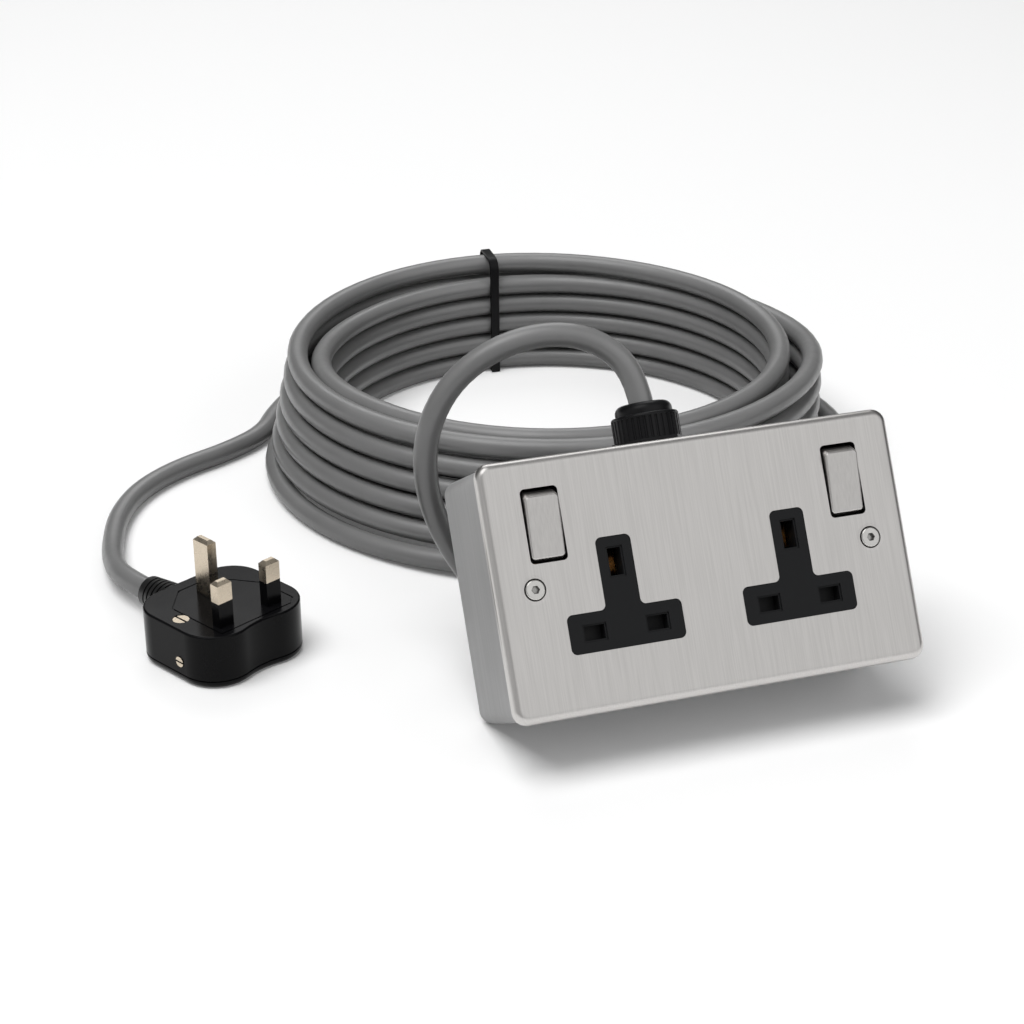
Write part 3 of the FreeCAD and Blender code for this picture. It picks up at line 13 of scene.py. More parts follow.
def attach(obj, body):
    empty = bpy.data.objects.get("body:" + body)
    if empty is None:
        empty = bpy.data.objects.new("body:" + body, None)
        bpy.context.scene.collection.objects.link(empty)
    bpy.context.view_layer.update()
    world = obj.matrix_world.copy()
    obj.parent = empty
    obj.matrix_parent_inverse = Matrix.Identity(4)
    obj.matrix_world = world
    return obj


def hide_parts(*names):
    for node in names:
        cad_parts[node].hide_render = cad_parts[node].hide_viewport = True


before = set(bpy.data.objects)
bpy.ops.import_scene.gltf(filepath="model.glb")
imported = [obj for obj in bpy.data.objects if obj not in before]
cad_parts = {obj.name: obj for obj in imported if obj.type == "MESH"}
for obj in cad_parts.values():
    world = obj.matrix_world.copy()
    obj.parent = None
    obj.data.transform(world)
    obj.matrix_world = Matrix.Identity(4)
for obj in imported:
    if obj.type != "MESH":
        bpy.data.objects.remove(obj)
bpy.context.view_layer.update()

# Metal-clad extension lead: a steel socket box, a grey cord in a tied coil and a three-pin plug.
# The object's sizes are in millimetres, and those of the studio and the finishes in metres.

LOG = logging.getLogger("extension_lead")
MM = 0.001
BODY = "lead"

Flat = tuple[float, float]
Point = tuple[float, float, float]
Colour = tuple[float, float, float]
Socket = bpy.types.NodeSocket
Value = Socket | float | Sequence[float]

# The box leans back over its lower rear edge, which rests on the floor.
TILT = math.radians(30.0)
LEAN_Y = 0.9005
LEAN_Z = -0.732

WHITE = (1.0, 1.0, 1.0, 1.0)

# Where most of a noise lies between 0 and 1.
NOISE_LOW = 0.3
NOISE_HIGH = 0.7

# Shares of a finish's roughness on its handled and on its dull patches.
POLISHED = 0.85
DULLED = 1.2

# The shares of open air at which a recess gets its full painted shade and none, and the rays that measure
# them.
SHADED_AIR = 0.25
UNSHADED_AIR = 0.85
AIR_RAYS = 8


class Grain(Enum):
    """Which way a finish's lines run: the stretch of its noise and the turn about X before it."""

    CLOUDY = ((1.0, 1.0, 1.0), 0.0)
    UP_PLATE = ((1.0, 1.0, 0.02), TILT)
    UP_PIN = ((1.0, 1.0, 0.05), 0.0)


class Ease(Enum):
    """How a mapped value goes from its low to its high result."""

    STRAIGHT = "LINEAR"
    SOFT = "SMOOTHSTEP"


class Sum(Enum):
    """The kinds of arithmetic that the studio's nodes do."""

    TIMES = "MULTIPLY"
    TIMES_AND_PLUS = "MULTIPLY_ADD"
    LARGER = "MAXIMUM"


class Tree:
    """A node tree with the few calls that the materials and the world share."""

    def __init__(self, tree: bpy.types.NodeTree) -> None:
        """Takes hold of a tree's nodes and links."""
        self.nodes = tree.nodes
        self.links = tree.links

    def node(self, kind: str, **settings: object) -> bpy.types.Node:
        """Adds a node.

        Args:
            kind: the kind of shader node, by its plain name.
            **settings: attributes to set on it.

        Returns:
            The new node.
        """
        made = self.nodes.new("ShaderNode" + kind)
        for name, value in settings.items():
            setattr(made, name, value)
        return made

    def put(self, socket: Socket, value: Value) -> None:
        """Links an input to another node's result, or sets its own number.

        Args:
            socket: the input.
            value: a result, a number or a row of numbers.
        """
        if isinstance(value, Socket):
            self.links.new(value, socket)
        else:
            socket.default_value = value

    def fill(self, node: bpy.types.Node, **values: Value) -> bpy.types.Node:
        """Fills a node's named inputs.

        Args:
            node: the node.
            **values: what goes into each input, with _ for each space of its name.

        Returns:
            The node.
        """
        for name, value in values.items():
            self.put(node.inputs[name.replace("_", " ")], value)
        return node

    def fill_in_order(self, node: bpy.types.Node, *values: Value) -> bpy.types.Node:
        """Fills a node's inputs from the first on.

        Args:
            node: the node.
            *values: what goes into them.

        Returns:
            The node.
        """
        for socket, value in zip(node.inputs, values):
            self.put(socket, value)
        return node

    def reckon(self, kind: Sum, *values: Value) -> Socket:
        """The result of one sum."""
        return self.fill_in_order(self.node("Math", operation=kind.value), *values).outputs["Value"]

    def spread(self, value: Socket, low: float, high: float, start: float = NOISE_LOW,
               end: float = NOISE_HIGH, ease: Ease = Ease.STRAIGHT) -> Socket:
        """Maps a value to a range of numbers.

        Args:
            value: what is mapped.
            low: the result at start.
            high: the result at end.
            start: the value that gives low.
            end: the value that gives high.
            ease: how the result goes from low to high.

        Returns:
            The mapped value.
        """
        mapped = self.node("MapRange", interpolation_type=ease.value)
        self.fill(mapped, Value=value, From_Min=start, From_Max=end, To_Min=low, To_Max=high)
        return mapped.outputs["Result"]


class Graph(Tree):
    """A material's tree with its main shader and the patterns that the finishes share."""

    def __init__(self, name: str) -> None:
        """Starts a material.

        Args:
            name: what the material is called.
        """
        self.material = bpy.data.materials.new(name)
        self.material.use_nodes = True
        super().__init__(self.material.node_tree)
        self.shader = self.nodes["Principled BSDF"]

    @cached_property
    def place(self) -> Socket:
        """The place in the object's own space, made where a pattern first needs it."""
        return self.node("TexCoord").outputs["Object"]

    def noise(self, scale: float, detail: float, grain: Grain = Grain.CLOUDY) -> Socket:
        """Noise in the object's own space, cloudy or in lines.

        Args:
            scale: how many cells there are in a metre.
            detail: how many finer layers it has.
            grain: which way its lines run.

        Returns:
            The noise's value.
        """
        stretch, turn = grain.value
        turned = self.node("VectorRotate", rotation_type="X_AXIS")
        self.fill(turned, Vector=self.place, Angle=turn)
        mapped = self.fill(self.node("Mapping"), Vector=turned.outputs["Vector"], Scale=stretch)
        cloud = self.node("TexNoise")
        self.fill(cloud, Vector=mapped.outputs["Vector"], Scale=scale, Detail=detail)
        return cloud.outputs["Fac"]

    def blend(self, share: Socket, one: Colour, other: Colour) -> Socket:
        """Mixes two colours by a value.

        Args:
            share: 0 for the one colour and 1 for the other.
            one: the one colour.
            other: the other colour.

        Returns:
            The mixed colour.
        """
        mixed = self.node("Mix", data_type="RGBA")
        self.fill(mixed, A=(*one, 1.0), B=(*other, 1.0), Factor=share)
        return mixed.outputs["Result"]

    def bump(self, height: Socket, strength: float, depth: float, under: Socket | None = None) -> Socket:
        """Turns a height into a bumped normal.

        Args:
            height: the height from 0 to 1.
            strength: how much of the bump shows.
            depth: the real height in metres.
            under: a normal that this one adds to.

        Returns:
            The normal.
        """
        raised = self.fill(self.node("Bump"), Height=height, Strength=strength, Distance=depth)
        if under is not None:
            self.fill(raised, Normal=under)
        return raised.outputs["Normal"]

    def painted_recess_shade(self, colour: Socket, reach: float, dark: float) -> Socket:
        """Darkens a colour in narrow recesses with painted shade, where their own shadow falls.

        Args:
            colour: the colour before the painted shade.
            reach: how wide a recess counts as narrow, in metres.
            dark: the share of the colour left at the bottom.

        Returns:
            The colour with painted shade in its recesses.
        """
        # Painted shade: ambient occlusion darkens the colour in recesses, down to the given share.
        air = self.fill(self.node("AmbientOcclusion", samples=AIR_RAYS), Distance=reach)
        share = self.spread(air.outputs["AO"], dark, 1.0, SHADED_AIR, UNSHADED_AIR)
        scaled = self.fill_in_order(self.node("VectorMath", operation="SCALE"), colour)
        return self.fill(scaled, Scale=share).outputs["Vector"]

    def coat(self, **values: Value) -> None:
        """Fills the main shader's inputs, with _ for each space of their names."""
        self.fill(self.shader, **values)


@dataclass(frozen=True)
class Finish:
    """A look with its main colour.

    In every finish a scale counts a noise's cells in a metre, a detail its finer layers, a depth is a
    bump's real height in metres and a share says how much of it shows.
    """

    name: str
    colour: Colour

    def material(self) -> bpy.types.Material:
        """Builds the look's material.

        Returns:
            The material.
        """
        graph = Graph(self.name)
        self.paint(graph)
        return graph.material

    def paint(self, graph: Graph) -> None:
        """Gives the material's main shader its values."""
        raise NotImplementedError

    def tone(self, share: float) -> Colour:
        """A share of the main colour."""
        return tuple(part * share for part in self.colour)

    def mottled(self, graph: Graph, pattern: Socket, low: float, high: float = 1.0) -> Socket:
        """The main colour, which changes a little with a pattern.

        Args:
            graph: the material's tree.
            pattern: a noise.
            low: the share of the colour where the noise is low.
            high: the share of the colour where it is high.

        Returns:
            The colour.
        """
        return graph.blend(graph.spread(pattern, 0.0, 1.0), self.tone(low), self.tone(high))


@dataclass(frozen=True)
class BrushedSteel(Finish):
    """Stainless steel with fine parallel lines and a few faint smudges."""

    roughness: float
    grain: Grain
    detail: float = 2.0
    line_share: float = 0.10
    fine_scale: float = 5200.0
    fine_depth: float = 0.00008
    coarse_scale: float = 2300.0
    coarse_depth: float = 0.00012
    coarse_dark: float = 0.90
    smudge_scale: float = 18.0
    smudge_edges: Flat = (0.1, 0.9)
    wiped: float = -0.02
    smudged: float = 0.04

    def paint(self, graph: Graph) -> None:
        """Gives the steel its lines and smudges.

        Args:
            graph: the material's tree.
        """
        fine = graph.noise(self.fine_scale, self.detail, self.grain)
        coarse = graph.noise(self.coarse_scale, self.detail, self.grain)
        smudge = graph.noise(self.smudge_scale, self.detail)
        low, high = self.roughness + self.wiped, self.roughness + self.smudged
        relief = graph.bump(coarse, self.line_share, self.coarse_depth)
        graph.coat(Metallic=1.0, Base_Color=self.mottled(graph, coarse, self.coarse_dark),
                   Roughness=graph.spread(smudge, low, high, *self.smudge_edges),
                   Normal=graph.bump(fine, self.line_share, self.fine_depth, relief))


@dataclass(frozen=True)
class SatinPaint(Finish):
    """Satin grey coat on folded steel, with fine orange peel and rubbed patches."""

    metallic: float = 0.5
    smooth: float = 0.50
    rough: float = 0.60
    peel_scale: float = 1600.0
    peel_detail: float = 3.0
    peel_share: float = 0.12
    drag_scale: float = 900.0
    drag_detail: float = 3.0
    drag_share: float = 0.08
    drag_dark: float = 0.9
    depth: float = 0.0001
    patch_scale: float = 30.0
    patch_detail: float = 4.0

    def paint(self, graph: Graph) -> None:
        """Gives the coat its peel, drag lines and patches.

        Args:
            graph: the material's tree.
        """
        peel = graph.noise(self.peel_scale, self.peel_detail)
        drag = graph.noise(self.drag_scale, self.drag_detail, Grain.UP_PLATE)
        patch = graph.noise(self.patch_scale, self.patch_detail)
        relief = graph.bump(drag, self.drag_share, self.depth)
        graph.coat(Metallic=self.metallic, Base_Color=self.mottled(graph, drag, self.drag_dark),
                   Roughness=graph.spread(patch, self.smooth, self.rough),
                   Normal=graph.bump(peel, self.peel_share, self.depth, relief))


@dataclass(frozen=True)
class Metal(Finish):
    """Plain bright metal with faint tool marks and painted shade in its recesses."""

    roughness: float
    grain: Grain = Grain.CLOUDY
    mark_scale: float = 260.0
    mark_detail: float = 4.0
    mark_dark: float = 0.9
    line_scale: float = 2400.0
    line_detail: float = 2.0
    line_share: float = 0.05
    line_depth: float = 0.00003
    shade_reach: float = 0.0018
    shade_dark: float = 0.04

    def paint(self, graph: Graph) -> None:
        """Gives the metal its marks, lines and painted shade in its recesses.

        Args:
            graph: the material's tree.
        """
        marks = graph.noise(self.mark_scale, self.mark_detail)
        lines = graph.noise(self.line_scale, self.line_detail, self.grain)
        unshaded = self.mottled(graph, marks, self.mark_dark)
        # The base colour carries painted shade in recesses, from ambient occlusion.
        graph.coat(Metallic=1.0, Base_Color=graph.painted_recess_shade(unshaded, self.shade_reach, self.shade_dark),
                   Roughness=graph.spread(marks, self.roughness * POLISHED, self.roughness * DULLED),
                   Normal=graph.bump(lines, self.line_share, self.line_depth))


@dataclass(frozen=True)
class Plastic(Finish):
    """Moulded plastic with a fine spark grain and handling marks."""

    roughness: float
    grain_scale: float = 2600.0
    grain_share: float = 0.15
    specular: float = 0.5
    grain_detail: float = 2.0
    grain_depth: float = 0.00006
    mark_scale: float = 60.0
    mark_detail: float = 4.0
    mark_dark: float = 0.8
    mark_pale: float = 1.15

    def paint(self, graph: Graph) -> None:
        """Gives the plastic its grain and marks.

        Args:
            graph: the material's tree.
        """
        grain = graph.noise(self.grain_scale, self.grain_detail)
        marks = graph.noise(self.mark_scale, self.mark_detail)
        graph.coat(Specular_IOR_Level=self.specular,
                   Base_Color=self.mottled(graph, marks, self.mark_dark, self.mark_pale),
                   Roughness=graph.spread(marks, self.roughness * POLISHED, self.roughness * DULLED),
                   Normal=graph.bump(grain, self.grain_share, self.grain_depth))


@dataclass(frozen=True)
class CordJacket(Finish):
    """Soft vinyl jacket: satin, a little cloudy, with scuffs from the floor."""

    specular: float = 0.95
    smooth: float = 0.31
    rough: float = 0.40
    cloud_scale: float = 45.0
    cloud_detail: float = 4.0
    cloud_share: float = 0.08
    cloud_depth: float = 0.0003
    cloud_dark: float = 0.93
    cloud_pale: float = 1.06
    skin_scale: float = 1900.0
    skin_detail: float = 3.0
    skin_share: float = 0.05
    skin_depth: float = 0.00005
    scuff_scale: float = 260.0
    scuff_detail: float = 6.0

    def paint(self, graph: Graph) -> None:
        """Gives the jacket its cloudy tone, skin and scuffs.

        Args:
            graph: the material's tree.
        """
        cloud = graph.noise(self.cloud_scale, self.cloud_detail)
        skin = graph.noise(self.skin_scale, self.skin_detail)
        scuff = graph.noise(self.scuff_scale, self.scuff_detail)
        relief = graph.bump(cloud, self.cloud_share, self.cloud_depth)
        graph.coat(Specular_IOR_Level=self.specular,
                   Base_Color=self.mottled(graph, cloud, self.cloud_dark, self.cloud_pale),
                   Roughness=graph.spread(scuff, self.smooth, self.rough),
                   Normal=graph.bump(skin, self.skin_share, self.skin_depth, relief))


STEEL = BrushedSteel("plate_brushed_steel", (0.62, 0.605, 0.59), 0.30, Grain.UP_PLATE)
CAP_STEEL = BrushedSteel("rocker_brushed_steel", (0.60, 0.585, 0.57), 0.30, Grain.UP_PLATE)
BOX_PAINT = SatinPaint("box_satin_grey", (0.46, 0.46, 0.46))
BRIGHT = Metal("screw_bright_zinc", (0.66, 0.65, 0.63), 0.16)
BRASS = Metal("contact_brass", (0.62, 0.42, 0.20), 0.28)
PIN_BRASS = Metal("pin_pale_brass", (0.66, 0.57, 0.45), 0.27, Grain.UP_PIN)
SOCKET_BLACK = Plastic("socket_black", (0.0075, 0.0078, 0.0085), 0.48, specular=0.20)
ROCKER_BLACK = Plastic("rocker_black", (0.006, 0.006, 0.006), 0.40, specular=0.30)
GLAND_BLACK = Plastic("gland_nylon", (0.0045, 0.0045, 0.005), 0.32, 1800.0, 0.12, 0.20)
PLUG_BLACK = Plastic("plug_gloss_black", (0.0030, 0.0030, 0.0034), 0.20, 1400.0, 0.05, 0.10)
RELIEF_BLACK = Plastic("relief_black", (0.007, 0.007, 0.007), 0.36, 1400.0, 0.10)
TIE_BLACK = Plastic("tie_nylon", (0.004, 0.004, 0.0045), 0.36, specular=0.15)
RUBBER = Plastic("seal_rubber", (0.02, 0.02, 0.02), 0.65)
CERAMIC = Plastic("fuse_ceramic", (0.80, 0.78, 0.72), 0.25)
BROWN = Plastic("core_brown", (0.16, 0.06, 0.02), 0.35)
BLUE = Plastic("core_blue", (0.02, 0.08, 0.35), 0.35)
GREEN_YELLOW = Plastic("core_green_yellow", (0.30, 0.42, 0.04), 0.35)
JACKET = CordJacket("cord_grey_vinyl", (0.160, 0.160, 0.160))


@dataclass
class Wardrobe:
    """Keeps one material for each finish and puts it on pieces."""

    made: dict[str, bpy.types.Material] = field(default_factory=dict)

    def material(self, finish: Finish) -> bpy.types.Material:
        """Looks up a finish's material, which is built the first time.

        Args:
            finish: the finish.

        Returns:
            Its material.
        """
        if finish.name not in self.made:
            self.made[finish.name] = finish.material()
        return self.made[finish.name]

    def dress(self, finishes: dict[Finish, tuple[str, ...]]) -> None:
        """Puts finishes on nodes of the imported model.

        Args:
            finishes: the names of the nodes that each finish goes on.
        """
        for finish, nodes in finishes.items():
            for name in nodes:
                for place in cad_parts[name].material_slots:
                    place.material = self.material(finish)
                LOG.info("%s: %s", name, finish.name)

    def add(self, piece: bpy.types.Object, finish: Finish, slot: str) -> None:
        """Puts a finish on a new piece and lets it ride on the lead.

        Args:
            piece: the new piece.
            finish: its finish.
            slot: the record's material slot; not used.
        """
        piece.data.materials.append(self.material(finish))
        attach(piece, BODY)
        LOG.info("%s: %s", piece.name, finish.name)


@dataclass
class Mesher:
    """Builds a mesh from rings of points, smooth where its edges turn by less than smooth_degrees."""

    name: str
    smooth_degrees: float = 35.0
    points: list[Vector] = field(default_factory=list)
    faces: list[tuple[int, ...]] = field(default_factory=list)

    def ring(self, points: Sequence[Vector]) -> range:
        """Adds the points of a ring.

        Args:
            points: the points, in order.

        Returns:
            Their numbers in the mesh.
        """
        first = len(self.points)
        self.points.extend(points)
        return range(first, first + len(points))

    def skin(self, rings: Sequence[range], closed: bool = True) -> None:
        """Joins rings with quads.

        Args:
            rings: rings of equal length.
            closed: whether both ends get a cap.
        """
        count = len(rings[0])
        for low, high in zip(rings, rings[1:]):
            for i in range(count):
                k = (i + 1) % count
                self.faces.append((low[i], low[k], high[k], high[i]))
        if closed:
            self.faces.append(tuple(reversed(rings[0])))
            self.faces.append(tuple(rings[-1]))

    def build(self) -> bpy.types.Object:
        """Makes the object from what was added.

        Returns:
            The object, linked to the scene.
        """
        mesh = bpy.data.meshes.new(self.name)
        mesh.from_pydata([p * MM for p in self.points], [], self.faces)
        mesh.validate()
        made = bpy.data.objects.new(self.name, mesh)
        bpy.context.collection.objects.link(made)
        mesh.shade_smooth()
        mesh.set_sharp_from_angle(angle=math.radians(self.smooth_degrees))
        return made


def lean_point(x: float, y: float, z: float) -> Vector:
    """A point of the upright box at its leaning place, in millimetres."""
    return Vector((x, y * math.cos(TILT) + z * math.sin(TILT) + LEAN_Y,
                   z * math.cos(TILT) - y * math.sin(TILT) + LEAN_Z))


@dataclass(frozen=True)
class Card:
    """A soft bright patch of the studio's tent.

    Attributes:
        towards: the direction of its middle.
        edge: the cosine of the angle from its middle where it is gone.
        core: the cosine of the angle up to which it is full.
        strength: its light where it is full.
    """

    towards: Point
    edge: float
    core: float
    strength: float


@dataclass(frozen=True)
class Lamp:
    """A soft square lamp.

    Attributes:
        name: what it is called.
        place: where it hangs.
        target: where it points.
        side: of the square.
        watts: its power.
        mirrored: whether shiny surfaces show it.
    """

    name: str
    place: Point
    target: Point
    side: float
    watts: float
    mirrored: bool


@dataclass
class Studio:
    """Camera, floor, lamps and surroundings.

    Attributes:
        eye: where the camera stands.
        forward: the way it looks.
        right: the picture's right.
        down: the picture's way down.
        focal_px: the focal length in pixels of the photograph.
        image_px: the photograph's width in pixels.
        sensor_mm: the width of the camera's sensor in millimetres.
        nearest: how near the camera still sees.
        tent_level: the tent's light beside its cards.
        tent_on_matt: the share of the tent's light that falls on matt surfaces.
        floor_half: half the floor's side.
        floor_rough: its roughness.
        floor_white: its tone where it is seen or mirrored.
        floor_bounce: its tone for the light that it throws back.
        floor_lift: its own light where it is seen or mirrored.
        cards: the tent's bright patches.
        lamps: the lamps.
    """

    eye: Point = (-0.2763, -0.6791, 0.4232)
    forward: Point = (0.2722, 0.8588, -0.4339)
    right: Point = (0.9518, -0.3066, -0.0098)
    down: Point = (-0.1415, -0.4104, -0.9009)
    focal_px: float = 2379.34
    image_px: float = 1024.0
    sensor_mm: float = 36.0
    nearest: float = 0.01
    tent_level: float = 0.05
    tent_on_matt: float = 0.25
    floor_half: float = 6.0
    floor_rough: float = 0.9
    floor_white: float = 0.84
    floor_bounce: float = 0.14
    floor_lift: float = 0.09
    cards: tuple[Card, ...] = (
        Card((0.0, -0.2, 1.0), 0.10, 0.95, 0.22),
        Card((0.36, -0.84, 0.46), 0.62, 0.90, 0.66),
        Card((-1.0, -0.3, 0.2), 0.60, 0.95, 0.42),
        Card((-0.31, -0.10, 0.945), 0.90, 0.97, 1.8))
    lamps: tuple[Lamp, ...] = (
        Lamp("key", (-0.75, -0.2, 2.3), (0.0, 0.05, 0.03), 1.7, 52.0, False),
        Lamp("fill", (1.1, -0.9, 1.1), (0.0, 0.05, 0.03), 1.0, 5.0, False),
        Lamp("back", (0.3, 1.5, 1.4), (0.0, 0.2, 0.03), 1.2, 8.0, True))

    def camera(self) -> None:
        """Sets the camera at the photograph's place."""
        lens = bpy.data.cameras.new("view")
        lens.sensor_width = self.sensor_mm
        lens.lens = self.focal_px / self.image_px * self.sensor_mm
        lens.clip_start = self.nearest
        made = bpy.data.objects.new("view", lens)
        side = Vector(self.right).normalized()
        up = -Vector(self.down).normalized()
        back = -Vector(self.forward).normalized()
        turn = Matrix((side, up, back)).transposed().to_4x4()
        made.matrix_world = Matrix.Translation(Vector(self.eye)) @ turn
        bpy.context.collection.objects.link(made)
        bpy.context.scene.camera = made

    def floor(self) -> None:
        """Lays a pale floor that keeps the object's shadow."""
        half = self.floor_half
        mesh = bpy.data.meshes.new("floor")
        corners = [(-half, -half, 0), (half, -half, 0), (half, half, 0), (-half, half, 0)]
        mesh.from_pydata(corners, [], [(0, 1, 2, 3)])
        made = bpy.data.objects.new("floor", mesh)
        bpy.context.collection.objects.link(made)
        mesh.materials.append(self.floor_material())

    def floor_material(self) -> bpy.types.Material:
        """Builds the floor's look, pale where it is seen and darker where it only throws light back.

        Returns:
            The material.
        """
        graph = Graph("floor_white")
        rays = graph.node("LightPath").outputs
        seen = graph.reckon(Sum.LARGER, rays["Is Camera Ray"], rays["Is Glossy Ray"])
        graph.coat(Roughness=self.floor_rough,
                   Base_Color=graph.blend(seen, (self.floor_bounce,) * 3, (self.floor_white,) * 3),
                   Emission_Color=WHITE, Emission_Strength=graph.reckon(Sum.TIMES, seen, self.floor_lift))
        return graph.material

    def hang(self, lamp: Lamp) -> None:
        """Hangs a lamp that points at its target.

        Args:
            lamp: the lamp.
        """
        data = bpy.data.lights.new(lamp.name, "AREA")
        data.size = lamp.side
        data.energy = lamp.watts
        made = bpy.data.objects.new(lamp.name, data)
        made.location = lamp.place
        made.visible_glossy = lamp.mirrored
        towards = Vector(lamp.target) - Vector(lamp.place)
        made.rotation_euler = towards.to_track_quat("-Z", "Y").to_euler()
        bpy.context.collection.objects.link(made)

    def surroundings(self) -> None:
        """White where the camera looks, and a tent with bright cards for light and reflections."""
        world = bpy.data.worlds.new("studio")
        bpy.context.scene.world = world
        world.use_nodes = True
        tree = Tree(world.node_tree)
        rays = tree.node("LightPath").outputs
        direction = tree.node("TexCoord").outputs["Generated"]
        level: Value = self.tent_level
        for card in self.cards:
            level = self.lit(tree, direction, card, level)
        share = tree.spread(rays["Is Diffuse Ray"], 1.0, self.tent_on_matt, 0.0, 1.0)
        tent = tree.nodes["Background"]
        tree.fill(tent, Color=WHITE, Strength=tree.reckon(Sum.TIMES, level, share))
        white = tree.fill(tree.node("Background"), Color=WHITE)
        choice = tree.node("MixShader")
        tree.fill_in_order(choice, rays["Is Camera Ray"], tent.outputs[0], white.outputs[0])
        tree.fill(tree.nodes["World Output"], Surface=choice.outputs[0])

    def lit(self, tree: Tree, direction: Socket, card: Card, level: Value) -> Socket:
        """Adds one card's light to the tent's level.

        Args:
            tree: the world's tree.
            direction: the direction looked in.
            card: the card.
            level: the level so far.

        Returns:
            The new level.
        """
        cosine = tree.node("VectorMath", operation="DOT_PRODUCT")
        tree.fill_in_order(cosine, direction, Vector(card.towards).normalized())
        glow = tree.spread(cosine.outputs["Value"], 0.0, 1.0, card.edge, card.core, Ease.SOFT)
        return tree.reckon(Sum.TIMES_AND_PLUS, glow, card.strength, level)

    def build(self) -> None:
        """Sets up the whole studio."""
        self.camera()
        self.floor()
        self.surroundings()
        for lamp in self.lamps:
            self.hang(lamp)
        bpy.context.scene.view_settings.view_transform = "Standard"
        LOG.info("studio")


@dataclass
class Gland:
    """Nylon gland on the box's top wall.

    Attributes:
        x: where its middle line stands across the upright box.
        y: where it stands from the upright box's back, negative towards the plate.
        cord_start: the height where the cord's line starts in it.
        mouth: the height of its mouth.
    """

    x: float = -4.0
    y: float = -25.0
    cord_start: float = 93.0
    mouth: float = 101.0

    def at(self, height: float) -> Vector:
        """A point on the gland's middle line, at a height over the upright box's foot."""
        return lean_point(self.x, self.y, height)

    def build(self, wardrobe: Wardrobe) -> None:
        """Dresses the gland's pieces.

        Args:
            wardrobe: where finishes come from.
        """
        wardrobe.dress({GLAND_BLACK: ("gland_body", "gland_nut", "gland_locknut"),
                        RUBBER: ("gland_seal",), JACKET: ("cord_tail",)})


@dataclass
class Plug:
    """Three-pin plug on the floor, pins up.

    Attributes:
        place: where it lies on the floor.
        heading_degrees: the angle of the way that it points, away from the cord.
        mouth_a: where its relief's mouth lies along that way.
        cord_z: the height where the cord goes in.
    """

    place: Flat = (-147.0, 82.5)
    heading_degrees: float = -62.0
    mouth_a: float = -41.0
    cord_z: float = 9.5

    def laid(self, a: float, b: float, z: float) -> Vector:
        """A point of the plug's own frame at its place on the floor.

        Args:
            a: distance ahead, away from the cord.
            b: distance to the left of the heading.
            z: height.

        Returns:
            The point in millimetres.
        """
        heading = math.radians(self.heading_degrees)
        return Vector((self.place[0] + a * math.cos(heading) - b * math.sin(heading),
                       self.place[1] + a * math.sin(heading) + b * math.cos(heading), z))

    def build(self, wardrobe: Wardrobe) -> list[bpy.types.Object]:
        """Dresses the plug's pieces, which all lie on the cord's far end.

        Args:
            wardrobe: where finishes come from.

        Returns:
            The pieces.
        """
        finishes = {
            PIN_BRASS: ("plug_earth_pin", "plug_live_pin", "plug_neutral_pin", "cover_screw", "side_screw"),
            PLUG_BLACK: ("plug_cover", "plug_base", "pin_sleeves", "cord_grip"),
            RELIEF_BLACK: ("plug_relief",), BRASS: ("fuse_clips",), CERAMIC: ("plug_fuse",),
            BRIGHT: ("grip_screws",), BROWN: ("plug_cores",), JACKET: ("plug_tail",)}
        wardrobe.dress(finishes)
        return [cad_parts[name] for nodes in finishes.values() for name in nodes]


@dataclass
class SocketBox:
    """Steel box, plate, outlets and rockers."""

    def build(self, wardrobe: Wardrobe) -> None:
        """Dresses the box's pieces.

        Args:
            wardrobe: where finishes come from.
        """
        wardrobe.dress({
            BOX_PAINT: ("back_box",),
            STEEL: ("front_plate",),
            CAP_STEEL: ("rocker_cap_left", "rocker_cap_right"),
            BRIGHT: ("plate_screws", "moulding_screws", "box_earth_screw", "shutter_spring_left",
                     "shutter_spring_right"),
            SOCKET_BLACK: ("outlet_face_left", "outlet_face_right", "front_moulding", "rear_moulding",
                           "shutter_left", "shutter_right"),
            ROCKER_BLACK: ("rocker_left", "rocker_right", "rocker_plunger_left", "rocker_plunger_right"),
            BRASS: ("neutral_bar", "earth_bar", "live_bar", "terminal_screws", "live_contact_left",
                    "live_contact_right", "switch_lever_left", "switch_lever_right"),
            BROWN: ("core_live",),
            BLUE: ("core_neutral",),
            GREEN_YELLOW: ("core_earth", "earth_link")})


class Station(NamedTuple):
    """A place on the coil: its turn's middle and radius, the angle and height, and the stretch along y."""

    x: float
    y: float
    radius: float
    angle: float
    z: float
    deep: float = 1.0


